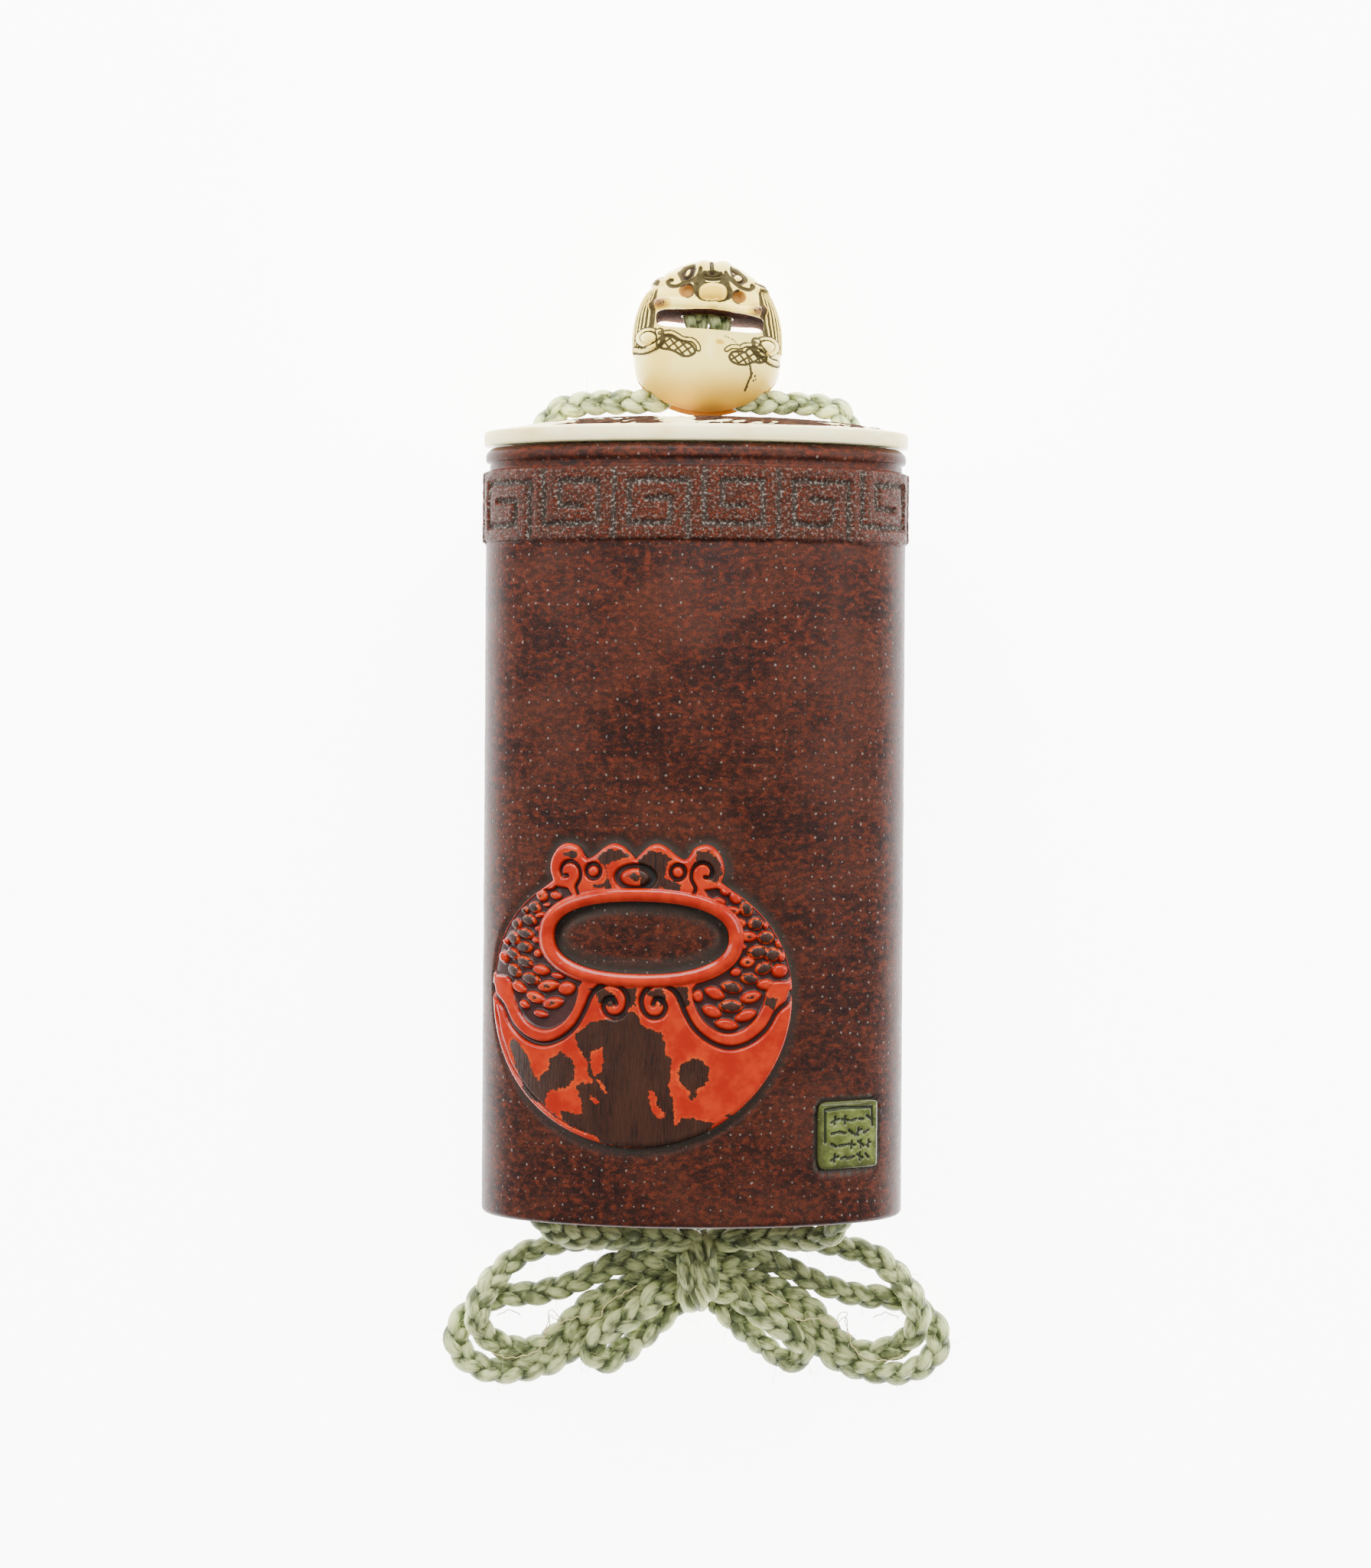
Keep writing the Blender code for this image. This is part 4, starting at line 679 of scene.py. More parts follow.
wavy = 0.10 * ripple(across, up, 5.0, 11) * seam
band = rise(FRET_LOW - 0.30, FRET_LOW + 0.20, up + wavy) * (1 - rise(97.65, 98.05, up))
pair = np.mod(across + FRET_PAIRS * FRET_PAIR / 2, FRET_PAIR)
near_pair = np.abs(across) < FRET_PAIRS * FRET_PAIR / 2
in_band = (up > FRET_LOW - 1.0) & (up < 98.4)
nudge_across = pair + 0.13 * ripple(across, up, 3.2, 12)
nudge_up = up - FRET_LOW + 0.13 * ripple(across, up, 2.9, 13)
fret_far = np.full(across.shape, 9.0)
spot = in_band & near_pair
for line in (fret_spiral, fret_turned, fret_bar):
    fret_far[spot] = np.minimum(fret_far[spot], far_from(nudge_across[spot], nudge_up[spot], line)[0])
groove = (1 - rise(0.20, 0.62, fret_far)) * band
neck = rise(97.75, 98.15, up) * (1 - rise(98.7, 99.15, up))
roll = np.where(up > 98.9, 0.06 - 0.86 * np.clip((up - 99.8) / 1.2, 0, 1) ** 2.4
                - 0.45 * np.clip((99.5 - up) / 0.6, 0, 1) ** 2, 0)
crumbs = ripple(across, up, 1.5, 14) * 0.05 * band * seam
print("rows and columns of the wall", across.shape)

# %% [markdown]
# Round the drum and the seal the lacquer sinks a little, and grey dust has gathered in that ring. Under
# the drum the wall is a pocket, which the carved plate fills.

# %% Hollows round the drum and the seal
near_drum = (np.abs(across - DRUM_ACROSS) < 24) & (np.abs(up - DRUM_UP) < 24)
halo = np.zeros(across.shape)
under = np.zeros(across.shape)
drum_in = within(across[near_drum], up[near_drum], drum_outline)
slot_in = within(across[near_drum], up[near_drum], slot_outline)
outer_halo = 1 - rise(0.0, 2.3, -drum_in)
inner_halo = 1 - rise(0.0, 3.4, slot_in)
halo[near_drum] = np.where(slot_in > 0, inner_halo, np.where(drum_in > 0, 1.0, outer_halo))
pocket = np.where(slot_in > 0, 1 - rise(0.0, 1.7, slot_in),
                  np.where(drum_in > 0, 1.0, 1 - rise(0.2, 1.5, -drum_in)))
under[near_drum] = pocket
near_seal = (np.abs(across - SEAL[0]) < 8) & (np.abs(up - SEAL[1]) < 8)
seal_in = within(across[near_seal], up[near_seal], seal_outline)
rough_seal = 0.28 * ripple(across[near_seal], up[near_seal], 1.1, 15)
halo[near_seal] = np.maximum(halo[near_seal], 1 - rise(0.3, 1.05, -seal_in + rough_seal))
under[near_seal] = np.maximum(under[near_seal], np.where(seal_in > -0.3, 1.0, 0.0))
relief = (edge + 0.45 * band - 0.42 * groove - 0.5 * neck + roll + crumbs - 0.48 * under
          + 0.02 * ripple(across, up, 9.0, 16) * seam)
wall = on_oval(across, up, relief).reshape(-1, 3)
wall_faces = grid_faces(len(heights), len(columns))
grey = np.maximum(np.maximum(halo, groove * 0.9), neck * 0.2).ravel()
wall_flat = np.stack([across.ravel(), up.ravel()], axis=1)
print("wall cells", len(wall_faces))

# %% [markdown]
# Inside, the box is hollow: one room for the tobacco with true walls, and on each side a channel
# through the wall for the cord. The rim and the base are flat plates with holes in them. A constrained
# triangulation fills such a plate between its outlines, and the holes are left out.

# %% Rim, base, room and channels
CORD_HOLE_X = 20.6
CHANNEL_RADIUS = 1.8
BASE_MOUTH_RADIUS = 3.8
BASE_MOUTH_HEIGHT = 5.6
ROOM_HALF_WIDTH = CORD_HOLE_X - CHANNEL_RADIUS - 1.85
ROOM_HALF_DEPTH = BODY_HALF_DEPTH - 3.2
FLOOR = 3.0


def plate(outer, holes, y):
    """Triangles of a flat plate across the box between its outline and its holes, at one height."""
    loops = [outer, *holes]
    points = []
    edges = []
    for loop in loops:
        first = len(points)
        points += [(float(x), float(z)) for x, z in loop]
        edges += [(first + k, first + (k + 1) % len(loop)) for k in range(len(loop))]
    found = delaunay_2d_cdt(points, edges, [], 1, 1e-6, False)
    places = np.array([tuple(point) for point in found[0]])
    triangles = np.array([face for face in found[2]])
    middle = places[triangles].mean(axis=1)
    kept = inside(middle[:, 0], middle[:, 1], np.asarray(outer))
    triangles = triangles[kept]
    middle = middle[kept]
    for hole in holes:
        out = ~inside(middle[:, 0], middle[:, 1], np.asarray(hole))
        triangles = triangles[out]
        middle = middle[out]
    return np.stack([places[:, 0], np.full(len(places), y), places[:, 1]], axis=1), triangles


def channel_rings(side):
    """Rings of a cord channel: a flared mouth at the base and a straight bore to the rim."""
    along = np.array([0, 0.3, 0.9, 1.7, 2.8, 4.2, 5.6, 30, 70, BODY_HEIGHT])
    radius = CHANNEL_RADIUS + (BASE_MOUTH_RADIUS - CHANNEL_RADIUS) * np.clip(
        1 - along / BASE_MOUTH_HEIGHT, 0, 1) ** 1.5
    turn = np.linspace(0, math.tau, 49)
    x = side * CORD_HOLE_X + radius[:, None] * np.cos(turn)
    z = BODY_Z + radius[:, None] * np.sin(turn)
    y = np.broadcast_to(BASE_Y + along[:, None], x.shape)
    return np.stack([x, y, z], axis=-1)
print("room, half width and half depth in mm", round(ROOM_HALF_WIDTH, 2), round(ROOM_HALF_DEPTH, 2))

# %% [markdown]
# The wall, the room, the channels and the flat plates follow one another in one mesh and are welded
# where their edges meet, so the box is one closed body.

# %% The whole box
room = superellipse(0, BODY_Z, ROOM_HALF_WIDTH, ROOM_HALF_DEPTH, 96, 2.6)
room_closed = np.concatenate([room, room[:1]])
room_rings = np.stack([np.stack([room_closed[:, 0], np.full(97, BASE_Y + y), room_closed[:, 1]], axis=1)
                       for y in (BODY_HEIGHT, 70.0, 30.0, FLOOR)])
channels = [channel_rings(side) for side in (-1, 1)]
columns_count = len(columns)
base_loop = wall[:columns_count - 1][:, [0, 2]]
rim_loop = wall[-columns_count:-1][:, [0, 2]]
plates = [plate(base_loop, [rings[0][:-1][:, [0, 2]] for rings in channels], BASE_Y),
          plate(rim_loop, [room] + [rings[-1][:-1][:, [0, 2]] for rings in channels], BASE_Y + BODY_HEIGHT),
          plate(room, [], BASE_Y + FLOOR)]
points = [wall]
faces = [wall_faces]
first = len(wall)
for rings in (room_rings, *channels):
    points.append(rings.reshape(-1, 3))
    faces.append(grid_faces(rings.shape[0], rings.shape[1], first))
    first += rings.shape[0] * rings.shape[1]
for places, triangles in plates:
    points.append(places)
    faces.append(triangles + first)
    first += len(places)
points = np.concatenate(points)
rest = len(points) - len(wall)
flat = np.concatenate([wall_flat, points[len(wall):, [0, 1]]])
is_inside = np.concatenate([np.zeros(len(wall)), np.ones(rest)])
is_inside[len(wall) + room_rings.shape[0] * room_rings.shape[1] + 2 * channels[0].shape[0] * 49:] = 0.5
body = make_piece("lacquer_body", points * MM, faces, flat,
                  {"grey": np.concatenate([grey, np.zeros(rest)]), "bare": is_inside,
                   "band": np.concatenate([band.ravel(), np.zeros(rest)])}, weld=5e-7)
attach(body, "root")
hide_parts("container_body")

# %% [markdown]
# The lacquer is built up over cloth and rubbed back. Its dark brown ground shows a network of rust red,
# the pits of the cloth stand in rows about 1.35 mm apart with grey dust in them, and hollows such as
# the fret and the ring round the drum hold grey. All patterns use the flat map of the wall.

# %% Mottled lacquer
lacquer = Finish("mottled lacquer")
sheet = lacquer.place((1, 1, 1), flat=True)
wobble = lacquer.noise(sheet, 0.16, 2)
wobble_up = lacquer.noise(lacquer.place((1, 1, 1), flat=True, turn=(0, 0, 0.8)), 0.19, 2)
x, y, _ = lacquer.parts(sheet)
woven = lacquer.join(lacquer.sum("MULTIPLY_ADD", wobble, 1.8, x),
                     lacquer.times(lacquer.sum("MULTIPLY_ADD", wobble_up, 1.8, y), 0.86))
pit_cells = lacquer.cells(woven, 0.735, "F1", 0.38)
pit_cells.voronoi_dimensions = "2D"
pit_chance, pit_size, _ = lacquer.parts(pit_cells.outputs["Color"])
pit_far = lacquer.sum("MULTIPLY_ADD", pit_size, -0.075, pit_cells.outputs["Distance"])
pit = lacquer.spread(pit_far, -0.005, 0.075, 1, 0)
rows = lacquer.noise(lacquer.place((0.02, 0.62, 1), flat=True), 1.0, 2, 0.6)
lines = lacquer.noise(lacquer.place((0.55, 0.03, 1), flat=True), 1.0, 2, 0.6)
region = lacquer.noise(sheet, 0.07, 2)
chance = lacquer.sum("MULTIPLY_ADD", pit_chance, 0.45,
                     lacquer.plus(rows, lacquer.plus(lines, region)))
chance = lacquer.spread(chance, 1.52, 2.02, 0.04, 0.95)
pit = lacquer.times(pit, chance)
lacquer.tell()

# %% [markdown]
# The colour is built up from dark to light: a brown-black ground, the rust-red network, cloudy dark
# patches, and small red spots that are thickest on the fret band.

# %% Colours of the lacquer
network = lacquer.noise(lacquer.place((0.85, 1.15, 1), flat=True), 1.25, 5, 0.68, 0.5)
fine = lacquer.noise(sheet, 4.5, 3, 0.6)
blobs = lacquer.noise(lacquer.place((0.75, 1.2, 1), flat=True, turn=(0, 0, 0.1)), 0.85, 4, 0.62)
broad = lacquer.noise(lacquer.place((0.8, 1.2, 1), flat=True), 0.09, 3, 0.6)
rust = lacquer.spread(lacquer.plus(network, lacquer.times(fine, 0.30)), 0.54, 0.84)
colour = lacquer.blend(rust, (0.024, 0.0095, 0.0070), (0.105, 0.021, 0.0095))
shift = lacquer.sum("MULTIPLY_ADD", broad, 0.55, blobs)
colour = lacquer.blend(lacquer.spread(shift, 0.70, 0.92, 0, 0.80), colour, (0.0105, 0.0072, 0.0068))
colour = lacquer.blend(lacquer.spread(broad, 0.35, 0.62, 0.30, 0.0), colour, (0.060, 0.026, 0.018))
colour = lacquer.blend(lacquer.times(lacquer.value_of("band"), 0.30), colour,
                       (0.15, 0.050, 0.030))
grains = lacquer.cells(sheet, 3.0)
grains.voronoi_dimensions = "2D"
grain_chance, _, _ = lacquer.parts(grains.outputs["Color"])
grain_spot = lacquer.times(lacquer.spread(grains.outputs["Distance"], 0.12, 0.36, 1, 0),
                           lacquer.spread(grain_chance, 0.62, 0.72))
on_band = lacquer.value_of("band")
spot_share = lacquer.times(grain_spot, lacquer.sum("MULTIPLY_ADD", on_band, 0.65, 0.12))
colour = lacquer.blend(spot_share, colour, (0.36, 0.036, 0.009))
lacquer.tell()

# %% [markdown]
# Dust in the hollows and the cloth pits comes last. On the fret band the pale flecks are dust and painted
# sparkle. The same pits and network also bend the surface a little, as bump, and dull its gloss.

# %% Dust, painted sparkle, gloss and fine relief
grey_share = lacquer.times(lacquer.value_of("grey"), lacquer.spread(fine, 0.2, 0.7, 0.65, 1.0))
colour = lacquer.blend(lacquer.spread(grey_share, 0.15, 0.95, 0, 0.90), colour, (0.050, 0.045, 0.038))
# Pale flecks on the fret band: dust and painted sparkle.
dust_and_sparkle_flecks = lacquer.spread(lacquer.noise(sheet, 2.4, 4, 0.72), 0.52, 0.63, 0, 0.95)
band_dust_and_sparkle = lacquer.times(dust_and_sparkle_flecks, lacquer.sum("MULTIPLY_ADD", lacquer.value_of("grey"), 0.60, 0.40))
colour = lacquer.blend(lacquer.times(band_dust_and_sparkle, on_band), colour, (0.42, 0.38, 0.32))
colour = lacquer.blend(lacquer.times(pit, 0.50), colour, (0.30, 0.26, 0.22))
bare = lacquer.value_of("bare")
colour = lacquer.blend(lacquer.spread(bare, 0.1, 0.5), colour, (0.018, 0.008, 0.006))
skin = lacquer.plus(lacquer.times(network, 0.55), lacquer.times(fine, 0.45))
skin = lacquer.sum("SUBTRACT", skin, lacquer.times(pit, 1.3))
crumb = lacquer.noise(sheet, 3.4, 4, 0.68)
weave = lacquer.plus(lacquer.times(rows, 0.6), skin)
bump = lacquer.bump(weave, 0.00007, 0.8)
bump = lacquer.bump(lacquer.times(crumb, on_band), 0.00085, 1.0, bump)
rough = lacquer.spread(network, 0.3, 0.7, 0.30, 0.44)
lacquer.set(Base_Color=colour, Roughness=lacquer.sum("MULTIPLY_ADD", pit, 0.3, rough), Normal=bump)
lacquer.shader.inputs["Specular IOR Level"].default_value = 0.07
body.data.materials.append(lacquer.material)

# %% [markdown]
# The drum was carved from a plate of wood, lacquered red and polished, and years of handling have worn
# the lacquer through to the dark wood. Its mesh runs in rings from the slot to the outline. Its height
# is a sum of rounded edges, the slot's rolled lip, grooves along lines and a lattice of scales. The
# worn patches are outlines, kept as a signed distance that the finish roughens into a ragged edge.

# %% Fish-drum relief
JEWEL = ((0, 0.748), (0.140, 0.092), (0.092, 0.056))
EYE_SHAPES = ((0.060, 0.062), (0.032, 0.034))
LEFT_SCALES = (
    (-0.557, 0.687, 0.037, 0.028, 0.20, 0), (-0.517, 0.623, 0.035, 0.024, -0.10, 0),
    (-0.612, 0.620, 0.038, 0.034, -0.40, 0.5), (-0.579, 0.560, 0.019, 0.011, 0.00, 0),
    (-0.663, 0.541, 0.040, 0.031, -0.30, 1), (-0.624, 0.494, 0.031, 0.016, 0.30, 0),
    (-0.700, 0.458, 0.048, 0.032, -0.15, 1), (-0.633, 0.406, 0.023, 0.016, 0.00, 0),
    (-0.795, 0.430, 0.034, 0.031, -0.30, 1), (-0.730, 0.371, 0.061, 0.029, -0.15, 1),
    (-0.651, 0.332, 0.025, 0.016, -0.30, 0), (-0.817, 0.339, 0.046, 0.036, -0.35, 1),
    (-0.734, 0.285, 0.053, 0.032, -0.00, 1), (-0.637, 0.248, 0.025, 0.024, 0.00, 0),
    (-0.822, 0.238, 0.050, 0.031, -0.20, 1), (-0.730, 0.190, 0.057, 0.031, -0.30, 1),
    (-0.895, 0.212, 0.037, 0.034, -0.50, 0), (-0.812, 0.130, 0.050, 0.036, -0.40, 1),
    (-0.615, 0.143, 0.056, 0.031, -0.05, 0), (-0.687, 0.083, 0.063, 0.036, -0.10, 1),
    (-0.500, 0.111, 0.043, 0.018, -0.10, 0), (-0.773, 0.026, 0.052, 0.031, -0.35, 0),
    (-0.566, 0.043, 0.071, 0.034, 0.30, 0.5), (-0.655, -0.034, 0.064, 0.034, -0.20, 0.5),
    (-0.440, 0.032, 0.053, 0.041, 0.40, 0), (-0.734, -0.083, 0.034, 0.023, -0.40, 0),
    (-0.531, -0.065, 0.066, 0.034, 0.30, 0.5), (-0.617, -0.138, 0.047, 0.021, -0.10, 0),
    (-0.874, 0.314, 0.021, 0.020, -0.30, 0), (-0.734, 0.522, 0.019, 0.018, 0.00, 1))
RIGHT_SCALES = (
    (0.565, 0.673, 0.033, 0.034, -0.50, 0), (0.629, 0.624, 0.037, 0.034, -0.40, 0),
    (0.530, 0.599, 0.035, 0.024, -0.10, 0), (0.609, 0.539, 0.046, 0.028, 0.10, 0.5),
    (0.697, 0.551, 0.040, 0.039, -0.50, 1), (0.657, 0.462, 0.037, 0.028, 0.10, 0.5),
    (0.758, 0.457, 0.045, 0.037, 0.40, 1), (0.709, 0.377, 0.055, 0.031, 0.10, 0.5),
    (0.822, 0.372, 0.049, 0.039, 0.30, 1), (0.677, 0.313, 0.022, 0.016, 0.10, 0),
    (0.770, 0.279, 0.063, 0.039, 0.25, 1), (0.867, 0.262, 0.052, 0.039, 0.50, 1),
    (0.705, 0.215, 0.045, 0.032, 0.30, 0.5), (0.810, 0.176, 0.053, 0.036, 0.50, 1),
    (0.633, 0.152, 0.032, 0.024, 0.40, 0), (0.721, 0.110, 0.053, 0.032, -0.00, 1),
    (0.912, 0.160, 0.049, 0.041, 0.50, 0), (0.822, 0.072, 0.053, 0.031, 0.10, 0),
    (0.609, 0.055, 0.062, 0.034, -0.10, 1), (0.502, 0.019, 0.062, 0.034, -0.30, 0),
    (0.398, -0.001, 0.032, 0.034, -0.40, 0), (0.729, -0.007, 0.063, 0.034, 0.35, 0.5),
    (0.605, -0.064, 0.073, 0.037, 0.05, 1), (0.486, -0.098, 0.059, 0.034, -0.30, 0),
    (0.697, -0.124, 0.067, 0.032, 0.45, 0), (0.577, -0.179, 0.070, 0.031, -0.10, 0),
    (0.905, 0.330, 0.023, 0.021, -0.40, 0), (0.925, 0.247, 0.020, 0.028, -0.60, 0),
    (0.822, 0.446, 0.016, 0.019, -0.50, 0))
WORN = (
    ((-0.06, -0.11), (-0.01, -0.09), (0.03, -0.13), (0.05, -0.19), (0.17, -0.23), (0.20, -0.29),
     (0.20, -0.36), (0.24, -0.40), (0.23, -0.53), (0.22, -0.56), (0.25, -0.67), (0.26, -0.82),
     (0.31, -0.77), (0.37, -0.77), (0.50, -0.80), (0.46, -0.88), (0.33, -0.95), (0.10, -0.97),
     (-0.13, -0.96), (-0.21, -0.94), (-0.22, -0.91), (-0.42, -0.84), (-0.46, -0.81), (-0.47, -0.75),
     (-0.42, -0.74), (-0.37, -0.77), (-0.33, -0.76), (-0.33, -0.69), (-0.37, -0.58), (-0.32, -0.56),
     (-0.26, -0.56), (-0.29, -0.50), (-0.30, -0.42), (-0.38, -0.29), (-0.37, -0.25), (-0.27, -0.17),
     (-0.11, -0.15)),
    ((-0.83, -0.32), (-0.80, -0.30), (-0.76, -0.33), (-0.70, -0.40), (-0.65, -0.53), (-0.62, -0.56),
     (-0.59, -0.51), (-0.55, -0.49), (-0.55, -0.43), (-0.52, -0.40), (-0.47, -0.37), (-0.40, -0.41),
     (-0.37, -0.47), (-0.38, -0.54), (-0.42, -0.60), (-0.52, -0.62), (-0.56, -0.64), (-0.57, -0.72),
     (-0.62, -0.71), (-0.72, -0.66), (-0.84, -0.35)),
    ((0.28, -0.47), (0.30, -0.43), (0.37, -0.39), (0.42, -0.40), (0.47, -0.45), (0.47, -0.52),
     (0.43, -0.57), (0.39, -0.60), (0.40, -0.62), (0.37, -0.66), (0.35, -0.65), (0.35, -0.61),
     (0.30, -0.57), (0.28, -0.53)),
    ((-0.24, 0.89), (-0.16, 0.93), (-0.09, 0.92), (-0.02, 0.88), (-0.13, 0.85), (-0.19, 0.81),
     (-0.13, 0.65), (-0.20, 0.68), (-0.27, 0.68), (-0.27, 0.70), (-0.19, 0.71), (-0.17, 0.80),
     (-0.24, 0.86)),
    ((0.02, 0.86), (0.09, 0.92), (0.17, 0.91), (0.25, 0.86), (0.20, 0.85), (0.19, 0.75), (0.25, 0.73),
     (0.29, 0.70), (0.28, 0.66), (0.20, 0.65), (0.17, 0.69), (0.14, 0.65), (0.04, 0.62)),
    ((-0.47, 0.89), (-0.40, 0.92), (-0.36, 0.89), (-0.40, 0.85)),
    ((0.39, 0.92), (0.47, 0.92), (0.53, 0.85), (0.55, 0.78), (0.51, 0.72), (0.46, 0.73), (0.47, 0.80),
     (0.45, 0.85), (0.36, 0.83)),
    ((-0.06, 0.08), (0.02, 0.06), (0.01, -0.06), (-0.04, -0.09)),
    ((0.23, 0.07), (0.33, 0.06), (0.35, -0.06), (0.30, -0.08)),
    ((-0.05, 0.76), (0.0, 0.785), (0.05, 0.75), (0.01, 0.715)),
    ((-0.30, 0.04), (-0.20, 0.06), (-0.12, 0.0), (-0.13, -0.08), (-0.22, -0.05), (-0.25, 0.01)),
    ((0.07, 0.02), (0.16, 0.06), (0.21, 0.0), (0.17, -0.07), (0.12, -0.02)),
    ((0.56, -0.76), (0.62, -0.77), (0.60, -0.73)),
    ((-0.53, -0.78), (-0.49, -0.80), (-0.51, -0.76)),
    ((-0.62, -0.76), (-0.59, -0.77), (-0.60, -0.74)),
    ((0.82, 0.0), (0.90, -0.02), (0.87, -0.09), (0.80, -0.05)))
KEPT = (
    ((-0.27, -0.36), (-0.20, -0.34), (-0.19, -0.40), (-0.21, -0.49), (-0.25, -0.52), (-0.27, -0.46)),
    ((-0.23, -0.54), (-0.19, -0.56), (-0.17, -0.62), (-0.20, -0.60)),
    ((-0.29, -0.64), (-0.24, -0.65), (-0.21, -0.69), (-0.24, -0.69)),
    ((0.09, -0.60), (0.13, -0.61), (0.15, -0.69), (0.20, -0.76), (0.17, -0.77), (0.12, -0.74)))
print("scales", len(LEFT_SCALES) + len(RIGHT_SCALES), "worn patches", len(WORN), "left whole", len(KEPT))

# %% [markdown]
# The height of the carving is a sum of forms, and each is a smooth step of the distance to a line or an
# outline. The scales are lozenges, each with a slope of its own, and some are worn flat.

# %% Height of the carving
def on_drum(points, side=1):
    """Shares of the drum's half size as places on the flat wall."""
    return np.asarray(points) * (side * DRUM_SIZE, DRUM_SIZE) + (DRUM_ACROSS, DRUM_UP)


def bare_field(side):
    """The ground of one field of scales, between the flank, the slot's lip and the border."""
    inset = 0.004
    flank = superellipse(0.13, 0, 0.87 - inset, 0.80 - inset, 24, 2.0, math.radians(54), math.radians(8))
    lip = 1.9 / DRUM_SIZE
    slot = superellipse(side * SLOT[0] / DRUM_SIZE, SLOT[1] / DRUM_SIZE, SLOT[2] / DRUM_SIZE + lip,
                        SLOT[3] / DRUM_SIZE + lip, 30, 2.3, math.radians(-60), math.radians(52))
    field = np.concatenate([[(0.432, 0.672), (0.510, 0.684)], flank, smooth_line(LOBE_EDGE, 4), slot])
    return on_drum(field, side)


def scale_pattern(x, y):
    """The scales: 0 in the middle of one, 1 at its edge, and whether the nearest one is worn.

    Each is a rounded lozenge, turned by its own slope. With s and t its shares along and across that
    slope, the distance is the sum of their powers of 1.8, taken to the power of 1 / 1.8.
    """
    nearest = np.full(x.shape, 9.0)
    wear = np.zeros(x.shape)
    for middle_x, middle_y, half_width, half_height, slope, worn in LEFT_SCALES + RIGHT_SCALES:
        length = math.hypot(1, slope)
        dx, dy = x - middle_x, y - middle_y
        s = (dx + slope * dy) / length / half_width
        t = (dy - slope * dx) / length / half_height
        far = (np.abs(s) ** 1.8 + np.abs(t + 0.12 * s) ** 1.8) ** (1 / 1.8) / 1.14
        wear = np.where(far < nearest, worn, wear)
        nearest = np.minimum(nearest, far)
    return nearest, wear


def drum_height(across, up):
    """Height of the carved plate over the wall of the box, in mm, with its worn and hollow shares."""
    edge = within(across, up, drum_outline)
    lip = -within(across, up, slot_outline)
    x = np.abs(across - DRUM_ACROSS) / DRUM_SIZE
    y = (up - DRUM_UP) / DRUM_SIZE
    folded = DRUM_ACROSS + x * DRUM_SIZE
    round_edge = np.sqrt(1 - (1 - np.clip(edge / 0.65, 0, 1)) ** 2)
    height = 0.38 + 0.72 * round_edge + 0.10 * rise(0.5, 7, edge)
    cut = np.zeros(across.shape)
    for line, half_width in ((smooth_line(BORDER, 5), 0.40), (smooth_line(EAR, 5), 0.30)):
        far = far_from(folded, up, on_drum(line))[0]
        cut = np.maximum(cut, 1 - rise(half_width * 0.45, half_width * 1.15, far))
    for (middle_x, middle_y), ring, ball in ((JEWEL[0], JEWEL[1], JEWEL[2]), (EYE, *EYE_SHAPES)):
        out = np.hypot((x - middle_x) / ring[0], (y - middle_y) / ring[1])
        far_in = np.hypot((x - middle_x) / ball[0], (y - middle_y) / ball[1])
        cut = np.maximum(cut, (1 - rise(0.90, 1.04, out)) * rise(0.80, 1.16, far_in))
        height += 0.22 * np.clip(1 - far_in ** 2, 0, 1) * (far_in < 1)
    line_far = np.abs(edge - 0.85)
    lower_left = rise(-0.05, -0.25, y) * (across < DRUM_ACROSS - 6) + 0.0
    cut = np.maximum(cut, 0.55 * (1 - rise(0.08, 0.24, line_far)) * lower_left)
    field = np.maximum(within(across, up, bare_field(1)), within(across, up, bare_field(-1)))
    far, wear = scale_pattern((across - DRUM_ACROSS) / DRUM_SIZE, y)
    pillow = 1 - rise(0.66, 1.12, far)
    in_field = rise(-0.12, 0.14, field)
    height = (height * (1 - in_field)
              + in_field * (0.36 + 0.16 * round_edge + 0.70 * pillow * (1.06 - 0.2 * far ** 2)))
    height -= (0.66 * cut) * (1 - in_field)
    crest = np.clip(lip / 1.7, 0, 1)
    roll = 0.62 + 0.92 * np.sin(math.pi * np.clip(0.16 + 0.66 * crest, 0, 1)) ** 0.8
    in_roll = 1 - rise(1.45, 1.85, lip)
    height = height * (1 - in_roll) + in_roll * roll
    cut = np.maximum(cut * (1 - in_roll), (in_field * (1 - rise(0.10, 0.60, pillow))) * (1 - in_roll))
    worn = np.full(across.shape, -9.0)
    for patch in WORN:
        worn = np.maximum(worn, within(across, up, on_drum(patch)))
    for patch in KEPT:
        worn = np.minimum(worn, -within(across, up, on_drum(patch)))
    top_worn = (0.95 * wear - 0.16 - far) * 0.9
    worn = np.where(field > 0.0, top_worn, np.where(lip < 1.7, -1.0, worn))
    return height, worn, cut, field

# %% [markdown]
# The mesh is a set of rings from the slot to the outline, closer near the slot. The last ones go down
# into the pocket. The plate follows the oval of the box.

# %% The carved plate
slot_middle = (DRUM_ACROSS + SLOT[0], DRUM_UP + SLOT[1])
around = even_line(np.concatenate([drum_outline, drum_outline[:1]]), 127.0 / 640)
offset = around - slot_middle
turn = np.arctan2(offset[:, 1], offset[:, 0])
outer_reach = np.hypot(offset[:, 0], offset[:, 1])
inner_reach = (np.abs(np.cos(turn) / SLOT[2]) ** 2.3 + np.abs(np.sin(turn) / SLOT[3]) ** 2.3) ** (-1 / 2.3)
share = np.linspace(0, 1, 126) ** 1.25
reach = inner_reach + (outer_reach - inner_reach) * share[:, None]
across = slot_middle[0] + reach * np.cos(turn)
up = slot_middle[1] + reach * np.sin(turn)
height, worn, cut, field = drum_height(across, up)
height += 0.010 * ripple(across, up, 3.0, 21)
below = np.linspace(1, 0, 16)
reach_below = inner_reach + (outer_reach - inner_reach) * below[:, None]
